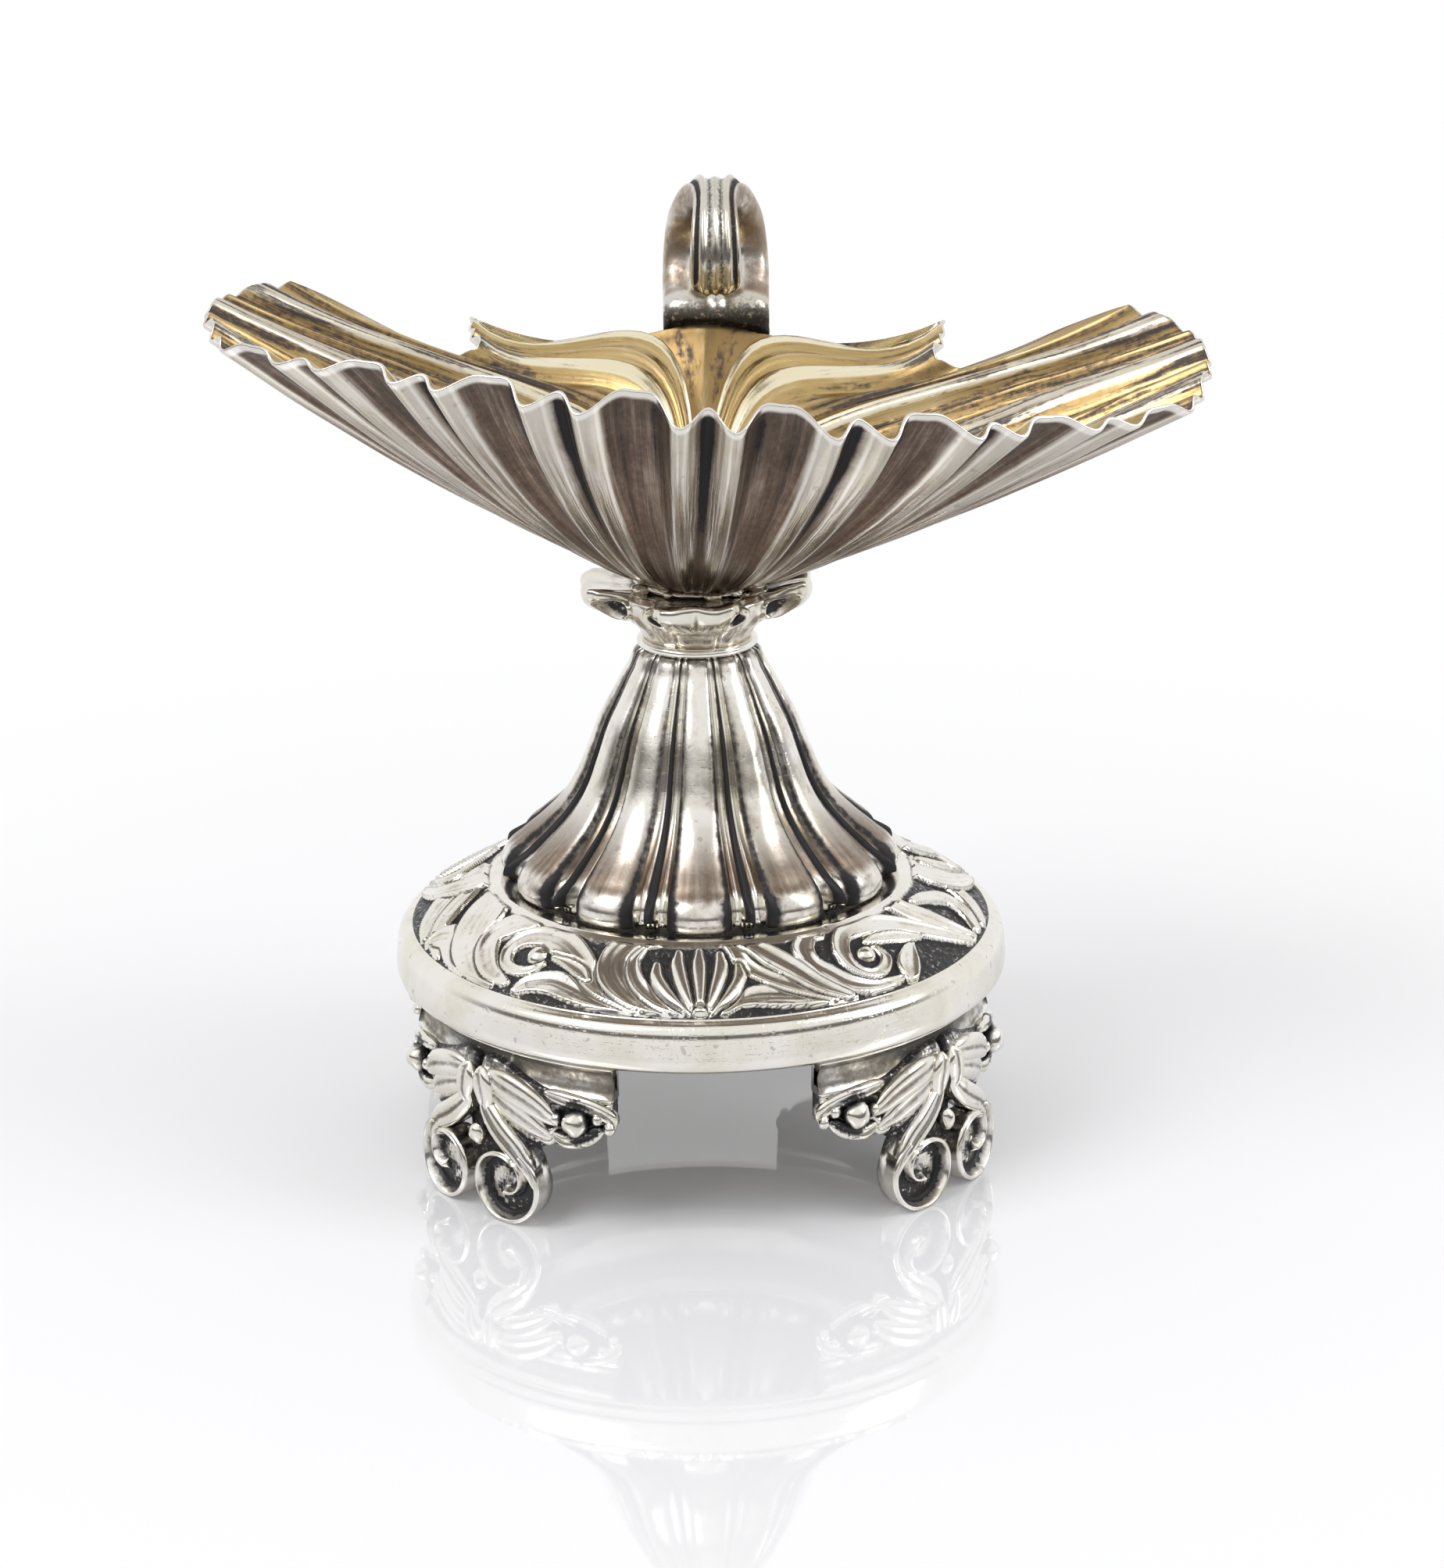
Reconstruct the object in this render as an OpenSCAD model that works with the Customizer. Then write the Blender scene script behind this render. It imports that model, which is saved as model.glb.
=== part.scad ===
// Shell salt cellar on a lobed pedestal with four scroll feet, soldered up from cast and struck pieces.
// Millimetres, +Z up, front towards -Y. The origin is on the pedestal axis, on the table.

/* [Bowl] */
// Plan distance from the pedestal axis to the front rim
bowl_front = 26; // [24:0.5:28]
// Plan distance from the pedestal axis to a wing tip
bowl_half = 52.6; // [48:0.2:56]
// Plan distance from the pedestal axis to the back of the beak
bowl_back = 27.5; // [26:0.5:29]
// Height of the front rim over the bowl seat
bowl_depth = 24; // [22:0.2:26]
// Thickness of the bowl sheet, measured square to the unfluted wall
bowl_sheet = 1; // [0.8:0.05:1.2]
// Depth of the flutes at the rim, from the mean wall to a channel
flute_depth = 1.6; // [1:0.1:2]
// Extra rise of each channel at the very rim
lip_rise = 1.2; // [0:0.1:1.6]
// Sideways lean of the bowl where it is soldered on, in degrees
bowl_lean = 3.7; // [0:0.1:5]
// Rise of the front left corner of the rim, hammered out of true
rim_warp = 2.4; // [0:0.1:3]

/* [Handle] */
// Width of the handle at its root
handle_root_w = 11.8; // [11:0.2:13]
// Thickness of the handle at its root
handle_thick = 3.8; // [3.2:0.1:4.4]
// Height of the handle over the beak
handle_rise = 14.8; // [13.4:0.2:16]
// Sideways set of the handle off the pedestal axis: it stands upright on the leaning bowl
handle_set = 2.4; // [1.6:0.1:3]
// Reach of the handle root down behind the beak
handle_root_drop = 4; // [3:0.2:5]

/* [Calyx collar] */
// Radius at the tips of the four leaves
leaf_tip_r = 12.4; // [11.8:0.1:13]
// Radius of the collar between the leaves
leaf_gap_r = 8.8; // [8:0.1:9.4]
// Radius of the flat seats of the bowl and the collar
seat_r = 6.4; // [6:0.1:7]
// Least thickness of the solder between the two seats
solder_thin = 0.3; // [0.2:0.05:0.5]

/* [Pedestal] */
// Height of the collar seat over the table
seat_z = 62.2; // [61:0.2:64]
// Height of the top of the pedestal over the table
neck_z = 55.6; // [54:0.2:56.6]
// Radius of the neck
neck_r = 6; // [5.6:0.1:6.4]
// Height of the neck ring
neck_ring_h = 1; // [0.8:0.1:1.2]
// Radius over the feet of the lobes
lobe_foot_r = 21.6; // [21:0.2:22]
// Thickness of the pedestal sheet
pedestal_sheet = 1; // [0.8:0.1:1.2]

/* [Base] */
// Height of the crease between the pedestal and the border
crease_z = 30; // [29.4:0.2:31]
// Radius of the crease
crease_r = 22.3; // [22:0.1:23]
// Radius of the upper edge of the band
band_top_r = 31.5; // [31:0.1:32]
// Radius of the lower edge of the band
band_low_r = 32.1; // [31.7:0.1:32.5]
// How far the band swells out past the straight line between its edges
band_crown = 1.4; // [1:0.1:1.8]
// Height of the upper edge of the band over the table
band_top_z = 24.8; // [24:0.1:25.6]
// Height of the lower edge of the band over the table
band_low_z = 19; // [18.4:0.1:19.6]
// Thickness of the border sheet
border_sheet = 1; // [0.8:0.1:1.2]
// Height of the chased relief over the border
relief_h = 0.7; // [0.3:0.1:0.9]

/* [Feet] */
// Angle of each foot off the front or back, in degrees
foot_angle = 50; // [46:0.5:52]
// Turn of all four feet together about the pedestal axis, in degrees
feet_turn = 3; // [0:0.5:4]
// Arc of each bracket strip under the band, in degrees
bracket_arc = 61; // [56:0.5:64]
// Height of the bracket strips
bracket_h = 3.9; // [3.6:0.1:4.2]
// How far the foot leaves swell out past the lower edge of the band
leaf_proud = 1.3; // [0.9:0.1:1.7]
// Radius of a volute
volute_r = 4; // [3.8:0.1:4.2]
// Thickness of a volute along its axle
volute_thick = 3.6; // [3.2:0.1:4]
// How far the faces of the volutes stand out past the lower edge of the band
volute_proud = 1.9; // [1.3:0.1:2.3]
// Radius of the stems that run down from the leaves into the volutes
stem_r = 1.2; // [1:0.1:1.4]
// Depth of the flat worn under each volute
foot_wear = 0.1; // [0.05:0.05:0.2]
// Radius of the berries beside the leaves
berry_r = 1; // [0.8:0.1:1.2]

/* [Hidden] */
// One period of the flutes is a wide channel, a rib, a narrow channel and a rib.
// Places round the half rim are counted in periods: 0 is the front and back_turn the back.
wing_turn = 7;
bend_turn = 4.5;
side_turn = 3.5;
ear_turn = 8.5;
back_turn = 9;
seat_spread = 5;
period_steps = 8;
beak_steps = 7;
bowl_rows = 11;
lobes = 12;
lobe_steps = 8;
border_fn = 48;
front_angle = 90;
pad_fn = 5;
calyx_steps = 72;
handle_steps = 18;
scroll_start = -70;
scroll_end = 222;
cutter_row = 6;
swell_steps = 10;
swell_power = 2.5;
round_fn = 64;
foot_fn = 32;
berry_fn = 8;

bowl_seat_z = seat_z + solder_thin + seat_r * tan(bowl_lean);
pad_h = bowl_seat_z - seat_z + seat_r * tan(bowl_lean);

// Rim of the wing: place, then shares of bowl_half, bowl_front and bowl_depth
rim_shares = [
  [-1.5, -0.428, -0.846, 1], [0, 0, -1, 1], [1.5, 0.428, -0.846, 0.99], [2.5, 0.672, -0.615, 0.97],
  [3.5, 0.9, -0.31, 0.95], [4, 0.965, -0.17, 0.975], [5, 1, 0.085, 1.04], [6, 0.973, 0.32, 1.09],
  [7, 0.858, 0.54, 1.125]];

// Guide points of the bent flutes and where they end, as shares of bowl_back in plan and bowl_depth in height
ridge_lift_shares = [0.18, 0.58, 0.77];
ridge_reach_shares = [0.73, 0.51, 0.5];
ear_front_lift_shares = [0.18, 0.62, 0.97];
ear_front_reach_shares = [0.51, 0.57, 0.51];
ear_front_end_shares = [0.9, 0.61, 0.88];
ear_back_lift_shares = [0.02, 1.09, 1.5];
ear_back_reach_shares = [0.5, 1, 0.4];
ear_back_end_shares = [0.955, 0.965, 0.905];
ear_dip_shares = [0.5, 1, 0.66];
beak_crest_shares = [0.17, 1, 0.9];
beak_lift_shares = [0, 0.58, 0.05];
beak_reach_shares = [0, 0.87, 0.63];
beak_end_shares = [0, 1, 0.895];

// Flute depth round the rim, as place and share of flute_depth
depth_shares = [[0, 1], [1.5, 0.85], [2.5, 0.64], [4, 0.52], [7, 0.5], [8, 0.35], [8.6, 0], [9, 0]];

// Shares down the crest of a lobe: radius over lobe_foot_r, height over the pedestal's own, and valley depth
pedestal_shares = [
  [0.278, 1, 0.012], [0.35, 0.915, 0.02], [0.425, 0.8, 0.03], [0.495, 0.69, 0.04], [0.55, 0.57, 0.05],
  [0.61, 0.445, 0.062], [0.69, 0.345, 0.075], [0.8, 0.255, 0.085], [0.92, 0.17, 0.09], [0.985, 0.1, 0.09],
  [1, 0.045, 0.085], [0.975, 0, 0.07]];
// Rows of pedestal_shares that the underside follows
under_rows = [11, 8, 7, 6, 5, 3, 1, 0];
// Shares across a lobe: phase off the crest, and how much of the valley depth is reached there
lobe_shares = [[0, 0], [0.25, 0.22], [0.39, 1], [0.5, 0.5]];

// Shares round the border's section: place from crease to band, height likewise, and depth under it
border_shares = [[-0.42, 0, 0], [0, 0, 0], [1, 1, 0], [0.92, 1, 0], [0.4, 0.5, 1], [0, 0.14, 1], [-0.42, 0.1, 1]];

// Leaves over one half of the border. Each is a row of places: degrees off the front, share of the way from the
// crease to the band, and half width as a share of that way.
bud_shares = [
  [[-8.8, 0.46, 0.08], [-1.6, 0.88, 0.05]], [[-0.6, 0.3, 0.09], [0, 0.88, 0.06]], [[8, 0.48, 0.08], [1.6, 0.88, 0.05]]];
left_leaf_shares = [
  [[-14, 0.16, 0.1], [-19, 0.4, 0.24], [-9, 0.85, 0.09]],
  [[-13, 0.88, 0.06], [-27, 0.46, 0.13], [-38, 0.25, 0.16], [-47, 0.45, 0.08], [-41, 0.68, 0.05]],
  [[-40.3, 0.45, 0.1], [-39.3, 0.45, 0.1]],
  [[-37, 0.84, 0.07], [-29.5, 0.75, 0.15], [-16, 0.88, 0.05]],
  [[-47.5, 0.18, 0.05], [-53.8, 0.36, 0.15], [-44, 0.86, 0.06]],
  [[-69, 0.22, 0.18], [-62.8, 0.48, 0.26], [-49, 0.87, 0.08]],
  [[-68.4, 0.78, 0.13], [-61, 0.85, 0.1]],
  [[-80, 0.3, 0.11], [-73.2, 0.82, 0.11]],
  [[-91, 0.2, 0.16], [-86.4, 0.51, 0.18], [-77, 0.87, 0.07]]];
right_leaf_shares = [
  [[10, 0.12, 0.06], [18, 0.38, 0.17], [27.5, 0.88, 0.06]],
  [[31, 0.17, 0.06], [25.3, 0.32, 0.1], [34, 0.85, 0.09]],
  [[41, 0.76, 0.05], [35, 0.55, 0.06], [38, 0.22, 0.08], [50, 0.24, 0.12], [66.5, 0.85, 0.08]],
  [[40.1, 0.47, 0.1], [41.1, 0.47, 0.1]],
  [[6, 0.88, 0.05], [13, 0.76, 0.16], [27, 0.88, 0.05]],
  [[61, 0.15, 0.12], [69.9, 0.82, 0.1]],
  [[93.8, 0.2, 0.16], [90.2, 0.46, 0.15], [81, 0.87, 0.07]],
  [[72, 0.3, 0.08], [80, 0.5, 0.1], [76.5, 0.84, 0.07]]];
// Width of a leaf's flat top over the width at its foot
leaf_top_share = 0.7;

// Shares up the collar, first between the leaves over leaf_gap_r, then at a leaf's middle over leaf_tip_r
calyx_shares = [
  [0.66, 0, 0.468, 0], [0.74, 0.22, 0.52, 0.22], [0.86, 0.42, 0.6, 0.38], [0.97, 0.64, 0.74, 0.44],
  [1, 0.8, 0.92, 0.6], [0.99, 0.9, 1, 0.84], [0.95, 0.96, 0.995, 1.1], [0.9, 1, 0.9, 1.12], [0.8, 1, 0.7, 1.04],
  [0.72, 1, 0.503, 1]];

// Shares of the handle's centre line off its middle, and of its thickness, from the beak to the tip
scroll_reach_shares = [[0, 0.56], [0.27, 0.49], [0.56, 0.39], [0.8, 0.36], [1, 0.42]];
handle_width_shares = [[0, 1], [0.3, 1], [0.4, 0.84], [0.55, 0.74], [0.8, 0.54], [1, 0.48]];
handle_thick_shares = [[0, 1], [0.3, 1], [0.6, 0.95], [0.85, 0.8], [1, 0.9]];
// Shares round half a section of the handle: place from the seam to the edge, place from the inside to the outside
groove_shares = [
  [0, -1], [0.55, -1], [0.92, -0.8], [1, -0.4], [0.93, 0.1], [0.72, 0.55], [0.6, 0.4], [0.44, 0.85], [0.22, 0.7],
  [0, 1]];

// Shares of a foot's leaf body: height over band_low_z, half arc over the bracket's, inner and outer radius
leaf_shares = [
  [0.86, 0.97, 0.9, 0.915], [0.78, 0.97, 0.9, 0.965], [0.7, 0.96, 0.89, 0.985], [0.64, 0.76, 0.87, 1],
  [0.56, 0.54, 0.86, 0.99], [0.47, 0.4, 0.86, 0.97], [0.36, 0.36, 0.87, 0.965], [0.13, 0.28, 0.88, 0.955]];
// Shares across a foot's leaf body: place over its half arc, and place from the inner to the outer radius
leaf_section_shares = [
  [-1, 0.2], [-0.9, 0.8], [-0.6, 1], [-0.3, 0.9], [-0.1, 0.8], [0, 0.55], [0.1, 0.8], [0.3, 0.9], [0.6, 1],
  [0.9, 0.8], [1, 0.2], [0.75, 0], [0.4, 0], [0, 0], [-0.4, 0], [-0.75, 0]];
// Shares down the stem of a volute: angle over volute_angle, and height over volute_r
stem_shares = [[0.4, 2.95], [0.85, 2.6], [1.3, 2.1], [1.62, 1.55], [1.7, 1]];
cove_shares = [[0.92, 0], [0.997, 0], [0.975, 0.25], [0.962, 0.55], [0.967, 0.8], [0.98, 1], [0.92, 1]];

scroll_centre = [0, 0.915 * bowl_back, beak_end_shares[2] * bowl_depth + bowl_sheet + 0.56 * handle_rise];
pad_r = 0.97 * seat_r;
border_w = norm([band_top_r - crease_r, crease_z - band_top_z]);
border_tilt = atan2(crease_z - band_top_z, band_top_r - crease_r);
leaf_sink = border_sheet / 4;
neck_bore_r = 0.6 * neck_r;
band_bore_r = band_top_r - border_sheet;
leaf_swell_r = band_low_r + leaf_proud;
volute_face_r = band_low_r + volute_proud;
volute_angle = 8;
volute_dish = 0.22 * volute_thick;
volute_rim = 0.24 * volute_r;
volute_eye_r = 0.3 * volute_r;
berry_angle = 0.7 * bracket_arc / 2;
berry_z = 0.7 * band_low_z;
tip_angle = 0.9 * bracket_arc / 2;
tip_z = 0.72 * band_low_z;

function mix(a, b, s) = a + (b - a) * s;
function clip(s) = min(max(s, 0), 1);
function ease(s) = let (q = clip(s)) q * q * (3 - 2 * q);

// Value at place p of a table whose rows start with their place, on a smooth curve through the rows
function row_of(rows, p, k = 0) = k >= len(rows) - 2 || p < rows[k + 1][0] ? k : row_of(rows, p, k + 1);
function tail(row) = [for (c = [1 : len(row) - 1]) row[c]];
function pitch(rows, k) =
  let (low = max(k - 1, 0), high = min(k + 1, len(rows) - 1))
  (tail(rows[high]) - tail(rows[low])) / (rows[high][0] - rows[low][0]);
function curve_at(rows, p) =
  let (k = row_of(rows, p), gap = rows[k + 1][0] - rows[k][0], s = clip((p - rows[k][0]) / gap))
  mix(tail(rows[k]), tail(rows[k + 1]), ease(s))
  + gap * s * (1 - s) * ((1 - s) * pitch(rows, k) - s * pitch(rows, k + 1));

// Closed skin over a net of points, net[spoke][row]. The rows end in flat caps, or run round in a loop.
module skin(net, loop = false) {
  spokes = len(net);
  rows = len(net[0]);
  walls = [for (i = [0 : spokes - 1]) for (j = [0 : rows - (loop ? 1 : 2)])
    let (n = (i + 1) % spokes, k = (j + 1) % rows,
         a = i * rows + j, b = n * rows + j, c = n * rows + k, d = i * rows + k)
    each [[a, b, c], [a, c, d]]];
  caps = loop ? [] : [[for (i = [spokes - 1 : -1 : 0]) i * rows], [for (i = [0 : spokes - 1]) i * rows + rows - 1]];
  polyhedron([for (spoke = net) each spoke], concat(walls, caps));
}

// Closed skin over loops of points, loops[loop][point], with a flat cap over the first and the last
module skin_strip(loops) {
  skin([for (i = [0 : len(loops[0]) - 1]) [for (k = [len(loops) - 1 : -1 : 0]) loops[k][i]]]);
}

// Height of a flute over the mean wall: high in a wide channel, a little up in a narrow one, low on ribs
function flute(turn) = 0.5 * cos(720 * turn) - 0.6 * cos(360 * turn) + 0.35 * cos(1080 * turn);

// Direction in which a flute leaves the seat, in degrees from the front
function seat_angle(turn) = 180 * (1 - exp(-turn / seat_spread)) / (1 - exp(-back_turn / seat_spread));

function seat_point(turn) = [seat_r * sin(seat_angle(turn)), -seat_r * cos(seat_angle(turn)), 0];
function guide(shares) = [shares[0] * bowl_back, shares[1] * bowl_back, shares[2] * bowl_depth];
function rim_point(turn) =
  let (c = curve_at(rim_shares, turn)) [c[0] * bowl_half, c[1] * bowl_front, c[2] * bowl_depth];

// Four guide points of the flute at a place, from the seat to the rim
function wing_guides(turn) =
  let (start = seat_point(turn), end = rim_point(turn), bend = ease((turn - bend_turn) / (wing_turn - bend_turn)),
       side = ease(turn / side_turn),
       low = mix(start, end, mix(0.42, 0.37, side)), high = mix(start, end, mix(0.84, 0.74, side)),
       rise_low = mix(0.16, 0.19, side) * end[2], rise_high = mix(0.57, 0.69, side) * end[2])
  [start,
   mix([low[0], low[1], rise_low], guide(ridge_lift_shares), bend),
   mix([high[0], high[1], rise_high], guide(ridge_reach_shares), bend),
   end];
function ear_guides(turn) =
  let (s = (turn - wing_turn) / (ear_turn - wing_turn))
  [seat_point(turn),
   mix(guide(ear_front_lift_shares), guide(ear_back_lift_shares), s),
   mix(guide(ear_front_reach_shares), guide(ear_back_reach_shares), s),
   mix(guide(ear_front_end_shares), guide(ear_back_end_shares), s)];
function beak_guides(turn) =
  let (s = (turn - ear_turn) / (back_turn - ear_turn))
  [seat_point(turn),
   mix(guide(ear_back_lift_shares), guide(beak_lift_shares), s),
   mix(guide(ear_back_reach_shares), guide(beak_reach_shares), s),
   along([for (row = [ear_back_end_shares, ear_dip_shares, beak_crest_shares, beak_end_shares]) guide(row)], s)];
function guides(turn) =
  turn <= wing_turn ? wing_guides(turn) : turn <= ear_turn ? ear_guides(turn) : beak_guides(turn);

function along(g, t) =
  let (r = 1 - t) r * r * r * g[0] + 3 * r * r * t * g[1] + 3 * r * t * t * g[2] + t * t * t * g[3];
function heading(g, t) =
  let (r = 1 - t) r * r * (g[1] - g[0]) + 2 * r * t * (g[2] - g[1]) + t * t * (g[3] - g[2]);
function up_from_wall(g, t) =
  let (h = heading(g, t), flat = norm([h[0], h[1]]), n = [-h[0] * h[2], -h[1] * h[2], flat * flat]) n / norm(n);

// Point of the bowl at a place round the rim and a share t of the way up. sheet lifts it off the outer skin.
function bowl_point(turn, t, sheet, side) =
  let (g = guides(turn), mean = along(g, t), up = t > 0 ? up_from_wall(g, t) : [0, 0, 1],
       depth = t > 0 ? curve_at(depth_shares, turn)[0] * flute(turn) : 0,
       swell = depth * flute_depth * min(1, 0.12 + 1.1 * t),
       p = mean + (swell + sheet) * up,
       lip = lip_rise * pow(t, 4) * (1 - ease(turn / side_turn)),
       warp = rim_warp * t * p[0] * p[1] / (bowl_half * bowl_front))
  [side * p[0], p[1], p[2] + depth * lip + side * warp];

// One flute line from the seat up the inner skin, over the rim and down the outer skin
function spoke(turn, side) =
  let (last = bowl_rows - 1)
  [for (j = [0 : 2 * last + 1])
    let (t = (j <= last ? j : 2 * last + 1 - j) / last) bowl_point(turn, t, j <= last ? bowl_sheet : 0, side)];

function half_turns() = concat(
  [for (k = [0 : ear_turn * period_steps]) k / period_steps],
  [for (k = [1 : beak_steps]) mix(ear_turn, back_turn, k / beak_steps)]);

module lean_on_seat() {
  translate([0, 0, bowl_seat_z]) rotate([0, bowl_lean, 0]) children();
}

module shell_bowl() {
  turns = half_turns();
  last = len(turns) - 1;
  right = [for (k = [0 : last]) spoke(turns[k], 1)];
  left = [for (k = [last - 1 : -1 : 1]) spoke(turns[k], -1)];
  color([0.8, 0.78, 0.72]) lean_on_seat() skin(concat(right, left));
}

// Centre line of the handle, in the plane of symmetry: from the beak up the back, over the top and down in front
function scroll_angle(s) = mix(scroll_start, scroll_end, s);
function scroll_point(s) =
  let (a = scroll_angle(s), r = curve_at(scroll_reach_shares, s)[0] * handle_rise)
  [0, scroll_centre[1] + r * cos(a), scroll_centre[2] + r * sin(a)];

// Section of one half of the handle, from the seam out: shares of half the width and half the thickness
function handle_ring(s, side, drop = 0) =
  let (step = 1 / handle_steps / 2, here = scroll_point(s) - [0, 0, drop],
       run = scroll_point(s + step) - scroll_point(s - step),
       out = drop > 0 ? [0, 1, 0] : [0, run[2], -run[1]] / norm(run),
       across = curve_at(handle_width_shares, s)[0] * handle_root_w / 2,
       thick = curve_at(handle_thick_shares, s)[0] * handle_thick / 2)
  [for (q = groove_shares) here + [side * q[0] * across, 0, 0] + q[1] * thick * out];

// Room taken by the beak and all that is in front of it, which the handle root is filed to fit
module beak_room() {
  turns = [for (k = [0 : beak_steps]) mix(ear_turn, back_turn, k / beak_steps)];
  last = bowl_rows - 1;
  function line(turn, side) =
    [for (j = [cutter_row : 2 * last + 1 - cutter_row])
      let (t = (j <= last ? j : 2 * last + 1 - j) / last)
      bowl_point(turn, t, j <= last ? 2 * handle_thick : 0, side)];
  right = [for (turn = turns) line(turn, 1)];
  left = [for (k = [beak_steps - 1 : -1 : 0]) line(turns[k], -1)];
  lean_on_seat() skin_strip(concat(right, left));
}

module handle_half(side) {
  rings = concat([handle_ring(0, side, handle_root_drop)],
                 [for (k = [0 : handle_steps]) handle_ring(k / handle_steps, side)]);
  net = [for (i = [0 : len(groove_shares) - 1]) [for (ring = rings) ring[i]]];
  turned = side < 0 ? net : [for (i = [len(net) - 1 : -1 : 0]) net[i]];
  color([0.74, 0.73, 0.68]) difference() {
    translate([handle_set, 0, bowl_seat_z]) skin(turned);
    beak_room();
  }
}

module handle_left_half() {
  handle_half(-1);
}

module handle_right_half() {
  handle_half(1);
}

// Solder between the level seat of the collar and the leaning seat of the bowl
module solder_pad() {
  color([0.5, 0.47, 0.42]) difference() {
    translate([0, 0, seat_z]) cylinder(h = pad_h, r = pad_r, $fn = round_fn);
    lean_on_seat() translate([-2 * seat_r, -2 * seat_r, 0]) cube([4 * seat_r, 4 * seat_r, 2 * pad_h]);
  }
}

// Collar: each row of its outline is a place between the leaves and a place at a leaf's middle
function leaf_share(a) = ease((cos(4 * a) + 0.75) / 1.1);
function calyx_spoke(a) =
  let (leaf = leaf_share(a), foot_z = neck_z + neck_ring_h, rise = seat_z - foot_z)
  [for (q = calyx_shares)
    let (r = mix(q[0] * leaf_gap_r, q[2] * leaf_tip_r, leaf), z = foot_z + rise * mix(q[1], q[3], leaf))
    [r * cos(a), r * sin(a), z]];

module calyx_collar() {
  net = [for (k = [0 : calyx_steps - 1]) calyx_spoke(-360 * k / calyx_steps)];
  color([0.82, 0.8, 0.74]) skin(net);
}

module neck_ring() {
  color([0.8, 0.78, 0.72]) rotate_extrude($fn = round_fn) {
    translate([neck_bore_r, neck_z]) square([neck_r - neck_bore_r, neck_ring_h]);
    translate([neck_r, neck_z + neck_ring_h / 2]) circle(d = neck_ring_h, $fn = round_fn);
  }
}

// Pedestal: shares of lobe_foot_r and of its height down the crest of a lobe, and how deep the valleys go
function lobe_hollow(a) =
  let (phase = abs(a * lobes / 360 + lobes / 4 - round(a * lobes / 360 + lobes / 4)))
  curve_at(lobe_shares, phase)[0];
function pedestal_spoke(a) =
  let (height = neck_z - crease_z, hollow = lobe_hollow(a), last = len(pedestal_shares) - 1,
       outer = [for (j = [0 : last]) j], inner = under_rows)
  [for (k = [0 : len(outer) + len(inner) - 1])
    let (under = k > last, j = under ? inner[k - last - 1] : outer[k], q = pedestal_shares[j],
         r = (q[0] - hollow * q[2]) * lobe_foot_r - (under ? pedestal_sheet : 0),
         z = crease_z + q[1] * height - (under && j == 0 ? pedestal_sheet : 0))
    [r * cos(a), r * sin(a), z]];

module fluted_pedestal() {
  steps = lobes * lobe_steps;
  net = [for (k = [0 : steps - 1]) pedestal_spoke(360 * k / steps)];
  color([0.82, 0.8, 0.75]) skin(net);
}

// Border: a sheet ring whose leaves and buds stand up from a sloping ground
// Border: a sheet ring, and on it leaves with flat tops, each a row of pads drawn together
module leaf_pad(place) {
  rotate([0, 0, place[0] - front_angle])
    translate([mix(crease_r, band_top_r, place[1]), 0, mix(crease_z, band_top_z, place[1])])
      rotate([0, border_tilt, 0]) translate([0, 0, -leaf_sink])
        cylinder(h = leaf_sink + relief_h, r1 = place[2] * border_w, r2 = leaf_top_share * place[2] * border_w,
                 $fn = pad_fn);
}

module border_leaves() {
  for (leaf = concat(bud_shares, left_leaf_shares, right_leaf_shares), k = [0 : len(leaf) - 2]) hull() {
    leaf_pad(leaf[k]);
    leaf_pad(leaf[k + 1]);
  }
}

module foliate_border() {
  color([0.72, 0.7, 0.64]) {
    rotate_extrude($fn = border_fn) polygon(
      [for (q = border_shares)
        [mix(crease_r, band_top_r, q[0]), mix(crease_z, band_top_z, q[1]) - q[2] * border_sheet]]);
    border_leaves();
    rotate([0, 0, 2 * front_angle]) border_leaves();
  }
}

module base_band() {
  outline = [for (k = [0 : swell_steps])
    let (s = k / swell_steps, side = abs(2 * s - 1))
    [mix(band_low_r, band_top_r, s) + band_crown * (1 - pow(side, swell_power)), mix(band_low_z, band_top_z, s)]];
  color([0.85, 0.83, 0.78]) rotate_extrude($fn = 2 * round_fn)
    polygon(concat([[band_bore_r, band_top_z], [band_bore_r, band_low_z]], outline));
}

// Feet: built round the direction +X and then turned into place
module bracket_strip() {
  cove = [for (q = cove_shares) [q[0] * band_low_r, band_low_z - q[1] * bracket_h]];
  rotate([0, 0, -bracket_arc / 2]) rotate_extrude(angle = bracket_arc, $fn = 2 * foot_fn) polygon(cove);
}

function leaf_ring(q) =
  let (half = q[1] * bracket_arc / 2)
  [for (c = leaf_section_shares)
    let (a = c[0] * half, r = mix(q[2], q[3], c[1]) * leaf_swell_r)
    [r * cos(a), r * sin(a), q[0] * band_low_z]];

module leaf_body() {
  rings = [for (q = leaf_shares) leaf_ring(q)];
  net = [for (i = [0 : len(leaf_section_shares) - 1]) [for (ring = rings) ring[i]]];
  skin(net);
}

// The outer face of a volute is dished round a raised eye, and its underside is worn flat where it stands.
module volute(side) {
  rotate([0, 0, side * volute_angle]) difference() {
    translate([volute_face_r - volute_thick, 0, volute_r - foot_wear]) rotate([0, 90, 0]) difference() {
      cylinder(h = volute_thick, r = volute_r, $fn = foot_fn);
      translate([0, 0, volute_thick - volute_dish]) difference() {
        cylinder(h = 2 * volute_dish, r = volute_r - volute_rim, $fn = foot_fn);
        cylinder(h = 2 * volute_dish, r = volute_eye_r, center = true, $fn = foot_fn);
      }
    }
    translate([0, -volute_r, -volute_r]) cube([2 * volute_face_r, 2 * volute_r, volute_r]);
  }
}

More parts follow.
